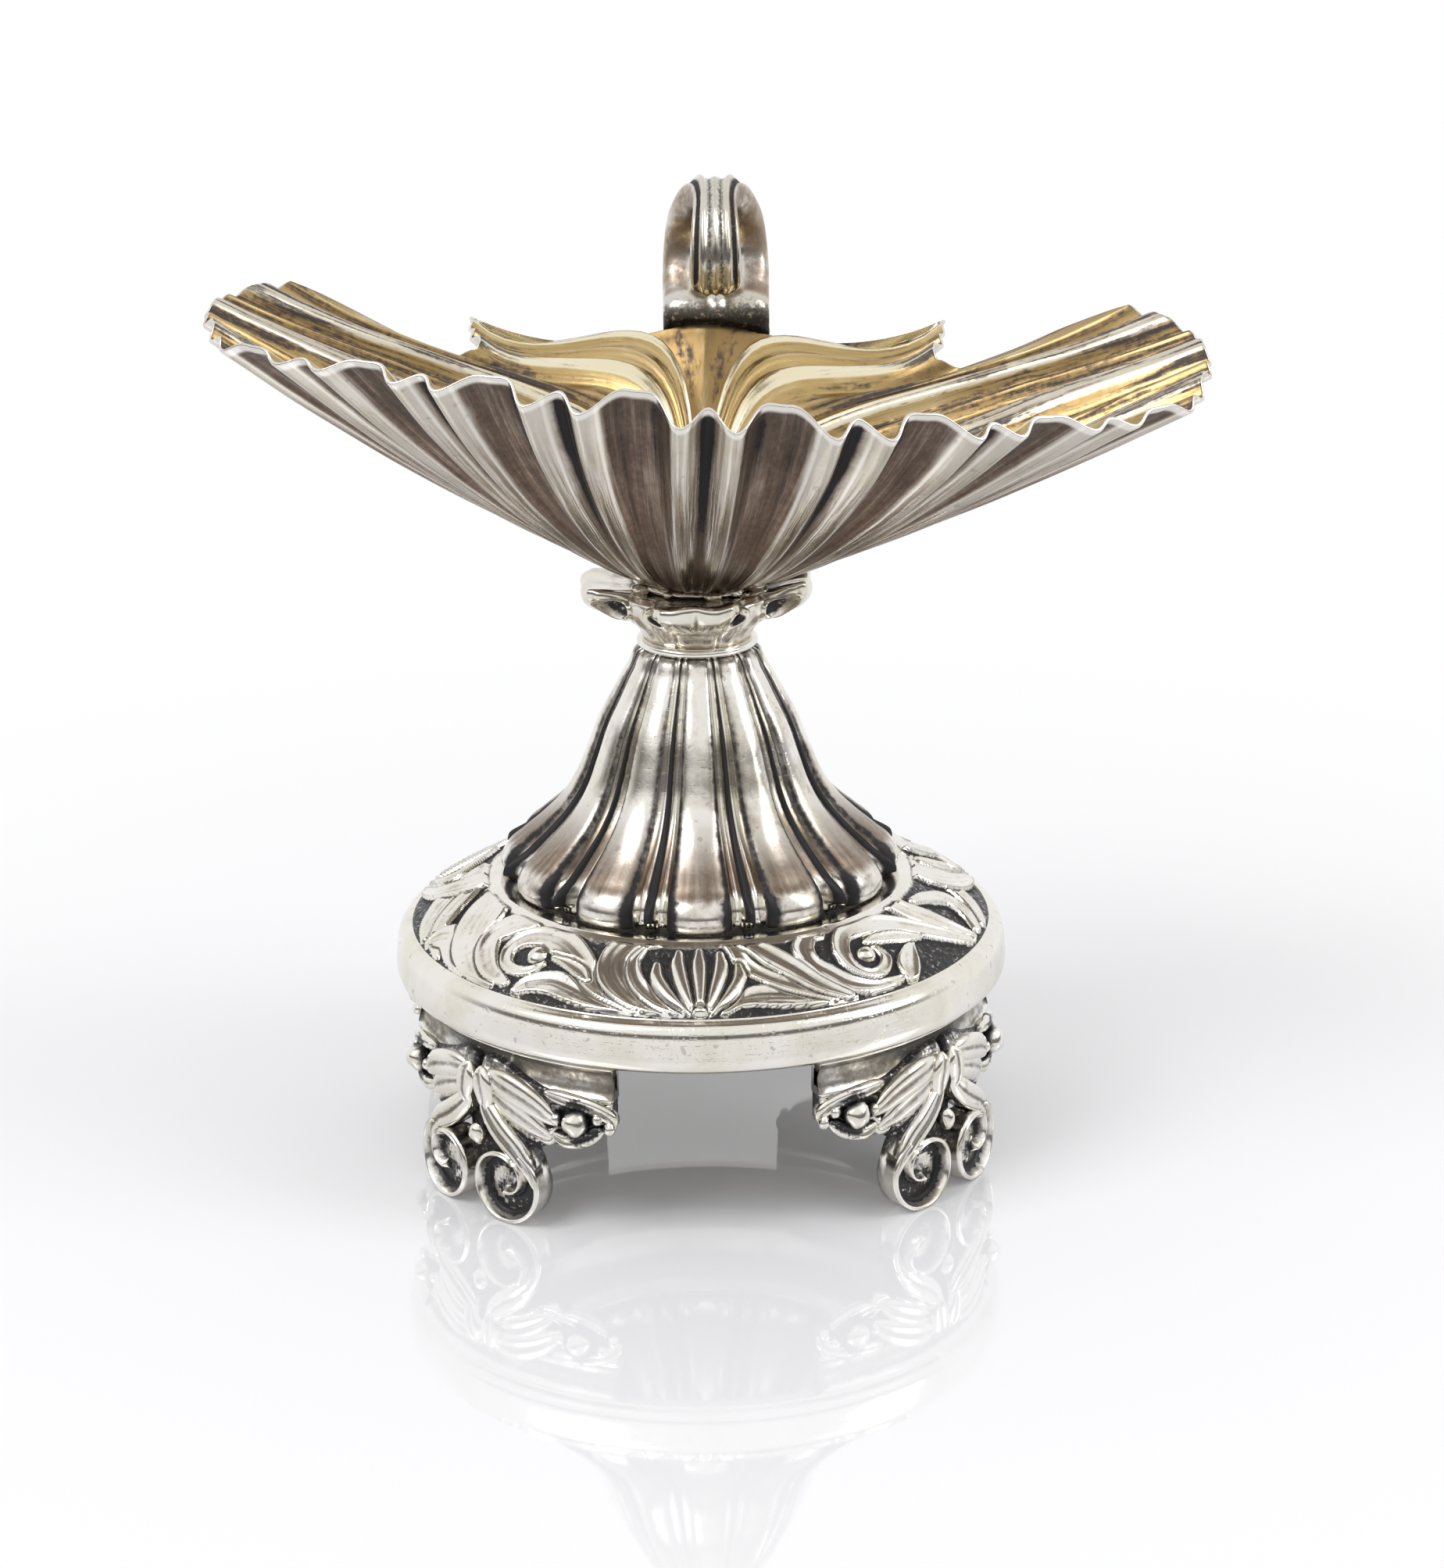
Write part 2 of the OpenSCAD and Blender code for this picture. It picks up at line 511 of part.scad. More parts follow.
// A scroll stem, from the leaves over the outer flank of the volute
module stem(side) {
  for (k = [0 : len(stem_shares) - 2]) hull() {
    stem_bead(side, stem_shares[k]);
    stem_bead(side, stem_shares[k + 1]);
  }
}

module stem_bead(side, q) {
  rotate([0, 0, side * q[0] * volute_angle]) translate([leaf_swell_r - stem_r, 0, q[1] * volute_r])
    sphere(stem_r, $fn = berry_fn);
}

module berries() {
  for (side = [-1, 1]) {
    rotate([0, 0, side * berry_angle]) translate([leaf_swell_r - berry_r, 0, berry_z]) sphere(berry_r, $fn = berry_fn);
    rotate([0, 0, side * tip_angle]) translate([leaf_swell_r - 2 * berry_r, 0, tip_z])
      rotate([0, 90, 0]) cylinder(h = 2 * berry_r, r = berry_r, center = true, $fn = foot_fn);
  }
  translate([volute_face_r - 2 * berry_r, 0, 2 * volute_r + berry_r / 2]) sphere(berry_r, $fn = berry_fn);
}

module foot(angle) {
  color([0.78, 0.76, 0.7]) rotate([0, 0, angle + feet_turn]) {
    bracket_strip();
    leaf_body();
    volute(-1);
    volute(1);
    stem(-1);
    stem(1);
    berries();
  }
}

module foot_front_left() {
  foot(-90 - foot_angle);
}

module foot_front_right() {
  foot(-90 + foot_angle);
}

module foot_back_left() {
  foot(90 + foot_angle);
}

module foot_back_right() {
  foot(90 - foot_angle);
}

shell_bowl();
handle_left_half();
handle_right_half();
solder_pad();
calyx_collar();
neck_ring();
fluted_pedestal();
foliate_border();
base_band();
foot_front_left();
foot_front_right();
foot_back_left();
foot_back_right();
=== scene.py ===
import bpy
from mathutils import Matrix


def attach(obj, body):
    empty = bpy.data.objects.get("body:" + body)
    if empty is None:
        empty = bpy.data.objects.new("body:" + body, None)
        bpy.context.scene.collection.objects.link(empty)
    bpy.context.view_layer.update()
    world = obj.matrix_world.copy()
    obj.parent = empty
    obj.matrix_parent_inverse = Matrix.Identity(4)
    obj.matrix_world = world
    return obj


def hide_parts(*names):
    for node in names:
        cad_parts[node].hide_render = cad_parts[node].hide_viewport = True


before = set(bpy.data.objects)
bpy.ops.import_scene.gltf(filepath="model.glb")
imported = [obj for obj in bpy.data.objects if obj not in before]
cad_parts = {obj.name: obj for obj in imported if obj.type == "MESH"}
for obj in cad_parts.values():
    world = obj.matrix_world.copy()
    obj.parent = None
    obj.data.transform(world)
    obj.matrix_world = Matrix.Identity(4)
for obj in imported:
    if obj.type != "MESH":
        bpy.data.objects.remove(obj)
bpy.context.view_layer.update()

import math

import bpy
import numpy as np
from mathutils import Matrix, Vector
from bpy.props import FloatProperty, IntProperty, PointerProperty

bl_info = {
    "name": "Shell Salt Cellar",
    "version": (1, 0, 0),
    "blender": (4, 5, 0),
    "location": "3D View > Sidebar > Salt Cellar",
    "description": "Builds a shell salt cellar on a lobed pedestal with scroll feet",
    "category": "Add Mesh",
}

MM = 0.001
SEED, WAVES = 11, 14

# Sizes shared with the solids, in millimetres
BOWL_FRONT, BOWL_HALF, BOWL_BACK, BOWL_DEPTH = 26.0, 52.6, 27.5, 24.0
SHEET = 1.0
LEAN = math.radians(3.7)
SEAT_R, SEAT_Z, SOLDER_THIN = 6.4, 62.2, 0.3
BOWL_SEAT_Z = SEAT_Z + SOLDER_THIN + SEAT_R * math.tan(LEAN)
NECK_Z, NECK_R, NECK_RING_H = 55.6, 6.0, 1.0
LOBE_FOOT_R, LOBES = 21.6, 12
CREASE_Z, CREASE_R = 30.0, 22.3
BAND_TOP_R, BAND_LOW_R, BAND_SWELL_R = 31.5, 32.1, 33.2
BAND_TOP_Z, BAND_LOW_Z = 24.8, 19.0
LEAF_TIP_R, LEAF_GAP_R = 12.4, 8.8
FOOT_ANGLE, FEET_TURN, BRACKET_H = 50.0, 3.0, 3.9
VOLUTE_FACE_R, VOLUTE_BACK_R = 34.0, 30.2

# Places round half the shell's rim, counted in periods of the flutes. A row of RIM is such a place, then x
# over the half width, y over the front reach and z over the depth. The rows of the other tables are guide
# points, with x and y over the back reach and z over the depth.
WING_TURN, EAR_TURN, BACK_TURN = 7.0, 8.5, 9.0
RIM = [[-1.5, -0.428, -0.846, 1], [0, 0, -1, 1], [1.5, 0.428, -0.846, 0.99], [2.5, 0.672, -0.615, 0.97],
       [3.5, 0.9, -0.31, 0.95], [4, 0.965, -0.17, 0.975], [5, 1, 0.085, 1.04], [6, 0.973, 0.32, 1.09],
       [7, 0.858, 0.54, 1.125]]
RIDGE = [[0.18, 0.58, 0.77], [0.73, 0.51, 0.5]]
EAR_FRONT = [[0.18, 0.62, 0.97], [0.51, 0.57, 0.5], [0.9, 0.61, 0.81]]
EAR_BACK = [[0.02, 1.09, 1.5], [0.5, 1, 0.4], [0.955, 0.965, 0.905]]
BEAK = [[0, 0.58, 0.05], [0, 0.87, 0.63], [0, 1, 0.895]]
BEAK_RIM = [[0.955, 0.965, 0.905], [0.5, 1, 0.66], [0.17, 1, 0.9], [0, 1, 0.895]]
# Depth of the flutes at such places
FLUTE_DEPTH = [[0, 1], [1.5, 0.85], [2.5, 0.64], [4, 0.52], [7, 0.5], [8, 0.35], [8.6, 0], [9, 0]]
NOTCH_TURN, NOTCH_DROP = 7.25, 1.9


def mix(a, b, s):
    return a + (b - a) * s


def ease(s):
    s = np.clip(s, 0, 1)
    return s * s * (3 - 2 * s)


def bell(x):
    return np.exp(-x ** 2)


def points_of(*parts):
    """Coordinates whose shapes match, stacked into points."""
    return np.stack(np.broadcast_arrays(*parts), -1)


def curve_at(rows, p):
    """Rows of a table whose first column is the place, read at places p on a smooth curve."""
    rows = np.asarray(rows, float)
    p = np.asarray(p, float)
    k = np.clip(np.searchsorted(rows[:, 0], p, side="right") - 1, 0, len(rows) - 2)

    def pitch(i):
        low, high = np.maximum(i - 1, 0), np.minimum(i + 1, len(rows) - 1)
        return (rows[high, 1:] - rows[low, 1:]) / (rows[high, 0] - rows[low, 0])[..., None]

    gap = (rows[k + 1, 0] - rows[k, 0])[..., None]
    s = np.clip((p - rows[k, 0])[..., None] / gap, 0, 1)
    bend = gap * s * (1 - s) * ((1 - s) * pitch(k) - s * pitch(k + 1))
    return mix(rows[k, 1:], rows[k + 1, 1:], ease(s)) + bend


def curve_through(rows, count):
    """A smooth curve through the rows of a table without places, as count rows."""
    rows = np.asarray(rows, float)
    return curve_at(np.column_stack([np.linspace(0, 1, len(rows)), rows]), np.linspace(0, 1, count))


def bumps(points, size, seed):
    """Smooth random values at points, from a few waves of about the given size in millimetres."""
    draw = np.random.default_rng(seed)
    waves = draw.normal(size=(WAVES, 3)) * (2 * math.pi / size / 1.7)
    phases = draw.uniform(0, 2 * math.pi, WAVES)
    return np.cos(points @ waves.T + phases).mean(-1) * 1.6


# Meshes


class Shell:
    """Points and faces of a piece as it is put together, in millimetres.

    lines holds three values of the attribute line at each point, and parts the material of each face.
    """

    def __init__(self):
        self.points, self.faces, self.lines, self.parts, self.count = [], [], [], [], 0

    def add_net(self, net, ring=False, line=None, parts=0):
        """Adds the points net[u][v], closed round u, with faces that point outward.

        A ring is closed round v too, and any other net has a cap at both ends of v. parts says which
        material each strip of faces along v has.
        """
        nu, nv = net.shape[:2]
        line = np.zeros(net.shape) if line is None else line
        u, v = np.meshgrid(np.arange(nu), np.arange(nv if ring else nv - 1), indexing="ij")
        un, vn = (u + 1) % nu, (v + 1) % nv
        faces = np.stack([u * nv + v, un * nv + v, un * nv + vn, u * nv + vn], -1).reshape(-1, 4).tolist()
        self.parts += np.broadcast_to(parts, u.shape).reshape(-1).tolist()
        points, lines = [net.reshape(-1, 3)], [line.reshape(-1, 3)]
        for k, row in enumerate(() if ring else (0, nv - 1)):
            edge = np.arange(nu) * nv + row
            ends = np.stack([edge, np.roll(edge, -1)], -1)[:, ::1 if k else -1]
            faces += [[a, b, nu * nv + k] for a, b in ends.tolist()]
            self.parts += [0] * nu
            points.append(net[:, row].mean(0)[None])
            lines.append(line[:1, row])
        points = np.concatenate(points)
        corners = np.array([f[:3] for f in faces] + [[f[0], f[2], f[3]] for f in faces if len(f) > 3])
        a, b, c = points[corners].transpose(1, 0, 2)
        if (a * np.cross(b, c)).sum() < 0:
            faces = [f[::-1] for f in faces]
        self.points.append(points)
        self.lines.append(np.concatenate(lines))
        self.faces += [[i + self.count for i in face] for face in faces]
        self.count += len(points)


def soften(points, pairs, rounds):
    """Points drawn towards their neighbours, which shows where the surface is hollow."""
    count = len(points)
    degree = np.bincount(pairs.reshape(-1), minlength=count).astype(float)
    degree[degree == 0] = 1
    soft = points.copy()
    for _ in range(rounds):
        total = np.zeros_like(soft)
        for axis in range(3):
            total[:, axis] += np.bincount(pairs[:, 0], soft[pairs[:, 1], axis], minlength=count)
            total[:, axis] += np.bincount(pairs[:, 1], soft[pairs[:, 0], axis], minlength=count)
        soft = mix(soft, total / degree[:, None], 0.6)
    return soft


def finish_mesh(mesh, hollow_scale, rounds):
    """Smooth shading, and the attribute hollow: 0 on high parts, 0.5 on flat ones, 1 in deep hollows."""
    mesh.update()
    count = len(mesh.vertices)
    points = np.empty(count * 3, np.float32)
    mesh.vertices.foreach_get("co", points)
    points = points.reshape(-1, 3).astype(float) / MM
    pairs = np.empty(len(mesh.edges) * 2, np.int32)
    mesh.edges.foreach_get("vertices", pairs)
    pairs = pairs.reshape(-1, 2)
    normals = np.empty(count * 3, np.float32)
    mesh.vertices.foreach_get("normal", normals)
    normals = normals.reshape(-1, 3)
    depth = ((soften(points, pairs, rounds) - points) * normals).sum(1)
    near = ((soften(points, pairs, max(rounds // 6, 2)) - points) * normals).sum(1)
    hollow = np.clip(0.5 + depth / hollow_scale + 1.2 * near / hollow_scale, 0, 1)
    layer = mesh.attributes.new("hollow", "FLOAT", "POINT")
    layer.data.foreach_set("value", hollow.astype(np.float32))
    mesh.polygons.foreach_set("use_smooth", [True] * len(mesh.polygons))


def piece(name, shell, materials, nodes, hollow_scale, rounds):
    """A finished object from a shell: its mesh, its materials and the solids that it stands for."""
    mesh = bpy.data.meshes.new(name)
    points = np.concatenate(shell.points) * MM
    mesh.from_pydata(points.tolist(), [], shell.faces)
    layer = mesh.attributes.new("line", "FLOAT_VECTOR", "POINT")
    layer.data.foreach_set("vector", np.concatenate(shell.lines).astype(np.float32).reshape(-1))
    for material in materials:
        mesh.materials.append(material)
    mesh.polygons.foreach_set("material_index", shell.parts)
    mesh.validate()
    finish_mesh(mesh, hollow_scale, rounds)
    item = bpy.data.objects.new(name, mesh)
    bpy.context.scene.collection.objects.link(item)
    declare(item, nodes)


def declare(item, nodes):
    """Nothing on the salt cellar moves, so each piece rides on the one body."""
    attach(item, "root")
    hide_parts(*nodes)


# Node trees


class Wire:
    """A value in a node tree. Arithmetic on it adds Math nodes."""

    def __init__(self, bench, socket):
        self.bench, self.socket = bench, socket

    def math(self, kind, *rest):
        return self.bench.math(kind, self, *rest)

    def __add__(self, other):
        return self.math("ADD", other)

    def __radd__(self, other):
        return self.math("ADD", other)

    def __sub__(self, other):
        return self.math("SUBTRACT", other)

    def __rsub__(self, other):
        return self.bench.math("SUBTRACT", other, self)

    def __mul__(self, other):
        return self.math("MULTIPLY", other)

    def step(self, low, high):
        """0 below low, 1 above high, smooth between."""
        return self.bench.make("ShaderNodeMapRange", {"interpolation_type": "SMOOTHSTEP"},
                               {"Value": self, "From Min": low, "From Max": high})


class Bench:
    """A node tree that is being wired."""

    def __init__(self, tree):
        self.tree = tree
        tree.nodes.clear()

    def plug(self, socket, value):
        """Gives a socket its value, or a wire to it."""
        if isinstance(value, Wire):
            self.tree.links.new(value.socket, socket)
        else:
            socket.default_value = value

    def make(self, kind, settings=None, sockets=None, out=0):
        """One node: its settings first, then the values or wires of its sockets. Gives one output."""
        node = self.tree.nodes.new(kind)
        for key, value in (settings or {}).items():
            if key == "points":
                curve = node.mapping.curves[0]
                for place, height in value[2:]:
                    curve.points.new(place, height)
                for point, (place, height) in zip(curve.points, sorted(value)):
                    point.location = place, height
                node.mapping.update()
            else:
                setattr(node, key, value)
        for key, value in (sockets or {}).items():
            self.plug(node.inputs[key], value)
        return Wire(self, node.outputs[out]) if node.outputs else node

    def split(self, vector):
        """The three parts of a vector."""
        node = self.make("ShaderNodeSeparateXYZ", sockets={0: vector}).socket.node
        return [Wire(self, socket) for socket in node.outputs]

    def math(self, kind, *values):
        node = self.tree.nodes.new("ShaderNodeMath")
        node.operation = kind
        for socket, value in zip(node.inputs, values):
            self.plug(socket, value)
        return Wire(self, node.outputs[0])

    def blend(self, share, low, high):
        """Colours mixed by a share."""
        four = [(*c, 1) if isinstance(c, tuple) and len(c) == 3 else c for c in (low, high)]
        return self.make("ShaderNodeMix", {"data_type": "RGBA"}, {0: share, 6: four[0], 7: four[1]}, 2)

    def join(self, x, y, z=0.0):
        """A vector of three parts."""
        return self.make("ShaderNodeCombineXYZ", sockets={0: x, 1: y, 2: z})

    def noise(self, place, scale, detail, rough, warp=0.0):
        """Noise between 0 and 1 over a place."""
        return self.make("ShaderNodeTexNoise", {"noise_dimensions": "3D"},
                         {"Vector": place, "Scale": scale, "Detail": detail, "Roughness": rough,
                          "Distortion": warp})


# Finishes

BRIGHT = (0.84, 0.81, 0.77)
BROWN = (0.30, 0.22, 0.155)
TARNISH_AND_SHADE_BLACK = (0.022, 0.021, 0.023)
STAIN = (0.25, 0.23, 0.22)
PALE_GOLD, AMBER, GOLD_FILM = (0.82, 0.73, 0.50), (0.50, 0.36, 0.16), (0.27, 0.17, 0.07)
RUBBED_GOLD, RUBBED_WING, GOLD_OXIDE = (0.84, 0.78, 0.60), (0.62, 0.59, 0.54), (0.045, 0.045, 0.055)
BUMP_DEPTH = 0.05 * MM
# Heights over the table between which each lobe has a stained patch: it starts, is full, fades and ends
PATCH_HEIGHTS = 32.9, 33.9, 34.5, 41.5


def start_finish(name):
    """A material, the bench for its node tree, and the place on the piece in millimetres."""
    material = bpy.data.materials.new(name)
    material.use_nodes = True
    bench = Bench(material.node_tree)
    place = bench.make("ShaderNodeTexCoord", out=3)
    grain = bench.make("ShaderNodeVectorMath", {"operation": "SCALE"}, {0: place, "Scale": 1 / MM})
    return material, bench, grain


def end_finish(bench, shade, metal, rough, height):
    """The shader of a finish, with its fine marks as a bump."""
    bump = bench.make("ShaderNodeBump", sockets={"Strength": 0.5, "Distance": BUMP_DEPTH, "Height": height})
    shader = bench.make("ShaderNodeBsdfPrincipled", sockets={"Base Color": shade, "Metallic": metal,
                                                             "Roughness": rough, "Normal": bump})
    bench.make("ShaderNodeOutputMaterial", sockets={"Surface": shader})


def line_of(bench):
    """The three parts of the attribute line, which a piece's net sets."""
    return bench.split(bench.make("ShaderNodeAttribute", {"attribute_name": "line"}, out=1))


def scratches(bench, grain):
    """Fine scratches, some along the piece and some across."""
    lines = 0.0
    for stretch in ((0.35, 0.5, 5.0), (3.2, 0.3, 2.2)):
        place = bench.make("ShaderNodeVectorMath", {"operation": "MULTIPLY"}, {0: grain, 1: stretch})
        lines = bench.noise(place, 1.0, 2.0, 0.5) * 0.5 + lines
    return lines.step(0.56, 0.66)


def lobe_patches(bench, grain):
    """A stained patch low on each lobe, with a ragged upper edge."""
    aside, ahead, up = bench.split(grain)
    stripes = bench.noise(bench.join(aside.math("ARCTAN2", ahead) * 26, up * 0.12), 1.0, 2.0, 0.5)
    low = up + (stripes - 0.5) * 1.2
    begin, full, fade, end = PATCH_HEIGHTS
    return low.step(begin, full) * (1 - low.step(fade, end)) * (stripes * 0.7 + 0.55)


def black_ground_and_shade(bench, grain, fine):
    """Black where a net marks it: black tarnish and painted shade on the chased ground between the forms,
    painted shade on what lies behind the front of a foot and in the dents between the collar's leaves, and
    black in the grooves and at the root of the handle.
    """
    ground_and_shade_mask = line_of(bench)[2]
    speck = bench.noise(grain, 2.6, 3.0, 0.6)
    return ground_and_shade_mask * (ground_and_shade_mask * 0.7 + (fine - 0.5) * 1.0 + (speck - 0.5) * 1.2).step(0.2, 0.65)


def silver(name, brown=0.35, black_at=(0.56, 0.82), scratch=0.5, chased=0.0, bright=BRIGHT, film_at=0.82,
           ground=False, brown_tone=BROWN, patch=False):
    """Old silver: bright where it is rubbed, a brown film where it is not, and black in the hollows, which
    is black tarnish and painted shade.

    brown is the strength of the film and film_at the place where it starts. black_at holds the hollowness
    at which the black starts and is full. chased adds the tool lines in the flutes of the bowl, a painted
    highlight on the rim and on the edges of the ribs, and channels darkened by brown tarnish and a painted
    reflection of the dark room. ground adds the black that a piece's net marks: painted shade in recesses
    and dents, and black tarnish on chased ground.
    """
    material, bench, grain = start_finish(name)
    hollow = bench.make("ShaderNodeAttribute", {"attribute_name": "hollow"}, out=2)
    cloud = bench.noise(grain, 0.16, 4.0, 0.6, 0.4)
    fine = bench.noise(grain, 1.5, 4.0, 0.6)
    # Black in the hollows: black tarnish, and painted shade where the surface is hollow
    tarnish_and_shade = (hollow + (fine - 0.5) * 0.22 + (cloud - 0.5) * 0.12).step(*black_at)
    film = (hollow * 0.9 + cloud * 0.8 + (fine - 0.5) * 0.25).step(film_at, film_at + 0.3) * brown
    spots = bench.noise(grain, 0.9, 1.0, 0.4).step(0.70, 0.76) * 0.4
    marks = scratches(bench, grain) * scratch
    height = fine * 0.35 - marks * 0.5 - spots * 0.5
    if patch:
        film = film.math("MAXIMUM", lobe_patches(bench, grain))
    # The black that the net marks: tarnish on chased ground, and painted shade in recesses and dents
    if ground:
        tarnish_and_shade = (tarnish_and_shade * 0.7 + black_ground_and_shade(bench, grain, fine)).math("MINIMUM", 1.0)
    if chased:
        turn, rise, flute = line_of(bench)
        drift = bench.noise(grain, 0.35, 2.0, 0.5) * 2.4
        drawn = bench.join(turn * 34.0 + drift * 0.3, rise * 2.5)
        tool = bench.noise(drawn, 1.0, 2.0, 0.55).step(0.38, 0.6)
        strength = (1 - rise.step(0.55, 0.98)) * rise.step(0.02, 0.12)
        height = height + tool * strength * chased
        # The channels are darker, with dark streaks towards the rim: brown tarnish, and a painted
        # reflection of the dark room
        trough = flute.step(-0.25, 0.2)
        streaks = bench.noise(bench.join(turn * 11.0, rise * 1.3, flute * 0.4), 1.6, 4.0, 0.65, 0.3)
        dusk = (rise * 0.7 + streaks * 0.7 + cloud * 0.3).step(0.85, 1.25) * trough
        tarnish_and_shade = tarnish_and_shade * 0.9 + (1 - tool) * strength * 0.25 * (0.3 + trough) + dusk * 0.55
        film = film.math("MAXIMUM", (trough * 0.5 + streaks * 1.1 + cloud * 0.35).step(0.7, 1.3))
        # A painted highlight along the rim and on one edge of each rib, where the metal is also rubbed
        # bright
        ridge = flute.step(-0.42, -0.3) * (1 - flute.step(-0.28, -0.1))
        worn = (rise.step(0.975, 0.99) + ridge * 0.6) * 0.9
        film, tarnish_and_shade = film * (1 - worn), tarnish_and_shade.math("MINIMUM", 1.0) * (1 - worn)
        film = film.math("MAXIMUM", (1 - tool) * strength * (1 - worn) * 0.8)
    dull = (0.9 * bright[0], 0.9 * bright[1], 0.82 * bright[2])
    shade = bench.blend(cloud.step(0.35, 0.7), bright, dull)
    light_brown = tuple(1.35 * c for c in brown_tone)
    shade = bench.blend(film, shade, bench.blend(fine.step(0.4, 0.65), brown_tone, light_brown))
    shade = bench.blend(spots, shade, STAIN)
    if chased:
        # The painted highlight of the rim and the rib edges, over rubbed metal
        shade = bench.blend(worn * 0.8, shade, BRIGHT)
    # The black of tarnish and painted shade
    shade = bench.blend(tarnish_and_shade * 0.98, shade, TARNISH_AND_SHADE_BLACK)
    rough = 0.12 + cloud * 0.07 + film * 0.2 + tarnish_and_shade * 0.28 + marks * 0.08
    end_finish(bench, shade, 1 - tarnish_and_shade * 0.35, rough, height)
    return material


def gilding(name):
    """Worn gilding: pale gold, rubbed to silver on the ridges, with amber and brown streaks between, and
    darker in the hollow of the beak, which is painted shade.
    """
    material, bench, grain = start_finish(name)
    turn, rise, flute = line_of(bench)
    cloud = bench.noise(grain, 0.12, 4.0, 0.6, 0.5)
    fine = bench.noise(grain, 1.4, 4.0, 0.6)
    streaks = bench.noise(bench.join(turn * 8.0, rise * 1.6, cloud), 1.7, 4.0, 0.62, 0.4)
    ridge = flute.step(0.1, 0.6)
    wing = turn.step(2.0, 4.5) * (1 - turn.step(7.0, 7.3))
    worn = (rise * 0.3 + ridge * 0.45 + cloud * 0.5 + fine * 0.12).step(0.7, 1.05)
    amber = ((1 - ridge) * 0.5 + cloud * 0.5 + streaks * 0.5).step(0.6, 1.0)
    # Painted shade: the gilding is darker in the hollow of the beak
    beak = turn.step(8.3, 8.7)
    ear = turn.step(7.2, 7.4) * (1 - turn.step(8.0, 8.4)) * rise.step(0.7, 1.0)
    film = streaks * 0.9 - ridge * 0.1 + cloud * 0.35 + wing * 0.16 + beak * 0.24 + ear * 0.25
    film = film.step(0.54, 0.88)
    dark = (streaks + fine * 0.25 + wing * 0.09 + rise * 0.05 + ear * 0.16).step(0.7, 0.88)
    shade = bench.blend(amber, PALE_GOLD, AMBER)
    shade = bench.blend(worn * 0.75, shade, bench.blend(wing, RUBBED_GOLD, RUBBED_WING))
    shade = bench.blend(film * 0.75, shade, GOLD_FILM)
    shade = bench.blend(dark * 0.88, shade, GOLD_OXIDE)
    rough = 0.17 + cloud * 0.08 + film * 0.14 + dark * 0.2
    end_finish(bench, shade, 1.0, rough, fine * 0.4 + streaks * 0.4)
    return material


# Bowl


def along(g, t):
    """The point at share t of the curve with four guide points."""
    r = 1 - t
    return r ** 3 * g[0] + 3 * r * r * t * g[1] + 3 * r * t * t * g[2] + t ** 3 * g[3]


def heading(g, t):
    """The direction of that curve at share t."""
    r = 1 - t
    return r * r * (g[1] - g[0]) + 2 * r * t * (g[2] - g[1]) + t * t * (g[3] - g[2])


def guides(turn):
    """The four guide points of the flute at each place round the rim: four arrays of shape (n, 3)."""
    angle = math.pi * (1 - np.exp(-turn / 5)) / (1 - math.exp(-BACK_TURN / 5))
    seat = np.stack([SEAT_R * np.sin(angle), -SEAT_R * np.cos(angle), 0 * angle], -1)
    size = np.array([BOWL_BACK, BOWL_BACK, BOWL_DEPTH])

    def between(first, last, share):
        return [mix(np.array(a) * size, np.array(b) * size, share) for a, b in zip(first, last)]

    rim = curve_at(RIM, np.clip(turn, -1.5, WING_TURN)) * [BOWL_HALF, BOWL_FRONT, BOWL_DEPTH]
    side, bend = ease(turn / 3.5)[:, None], ease((turn - 4.5) / 2.5)[:, None]
    low = mix(seat, rim, mix(0.42, 0.37, side))
    high = mix(seat, rim, mix(0.84, 0.74, side))
    low[:, 2] = (mix(0.16, 0.19, side) * rim[:, 2:])[:, 0]
    high[:, 2] = (mix(0.57, 0.69, side) * rim[:, 2:])[:, 0]
    wing = [seat, mix(low, RIDGE[0] * size, bend), mix(high, RIDGE[1] * size, bend), rim]
    s = ((np.maximum(turn, NOTCH_TURN) - WING_TURN) / (EAR_TURN - WING_TURN))[:, None]
    ear = [seat] + between(EAR_FRONT, EAR_BACK, s)
    s = np.clip((turn - EAR_TURN) / (BACK_TURN - EAR_TURN), 0, 1)[:, None]
    edge = along([np.array(row) * size for row in BEAK_RIM], s)
    beak = [seat] + between(EAR_BACK, BEAK[:2], s) + [edge]
    s = np.clip((turn - WING_TURN) / (NOTCH_TURN - WING_TURN), 0, 1)[:, None]
    drop = NOTCH_DROP * s ** 1.8 * ease((1 - s) / 0.14)
    turn = turn[:, None]
    inner = [np.where(turn <= EAR_TURN, mix(a, b, s), c) for a, b, c in zip(wing, ear, beak)]
    inner[3] = inner[3] - drop * [0, 0, 1]
    inner[2] = inner[2] - drop * [0, 0, 0.5]
    return inner


def flute_height(turn):
    """The section across the flutes: one broad and one narrow ridge in each period."""
    wave = 2 * math.pi * turn
    return 0.5 * np.cos(2 * wave) - 0.6 * np.cos(wave) + 0.35 * np.cos(3 * wave)


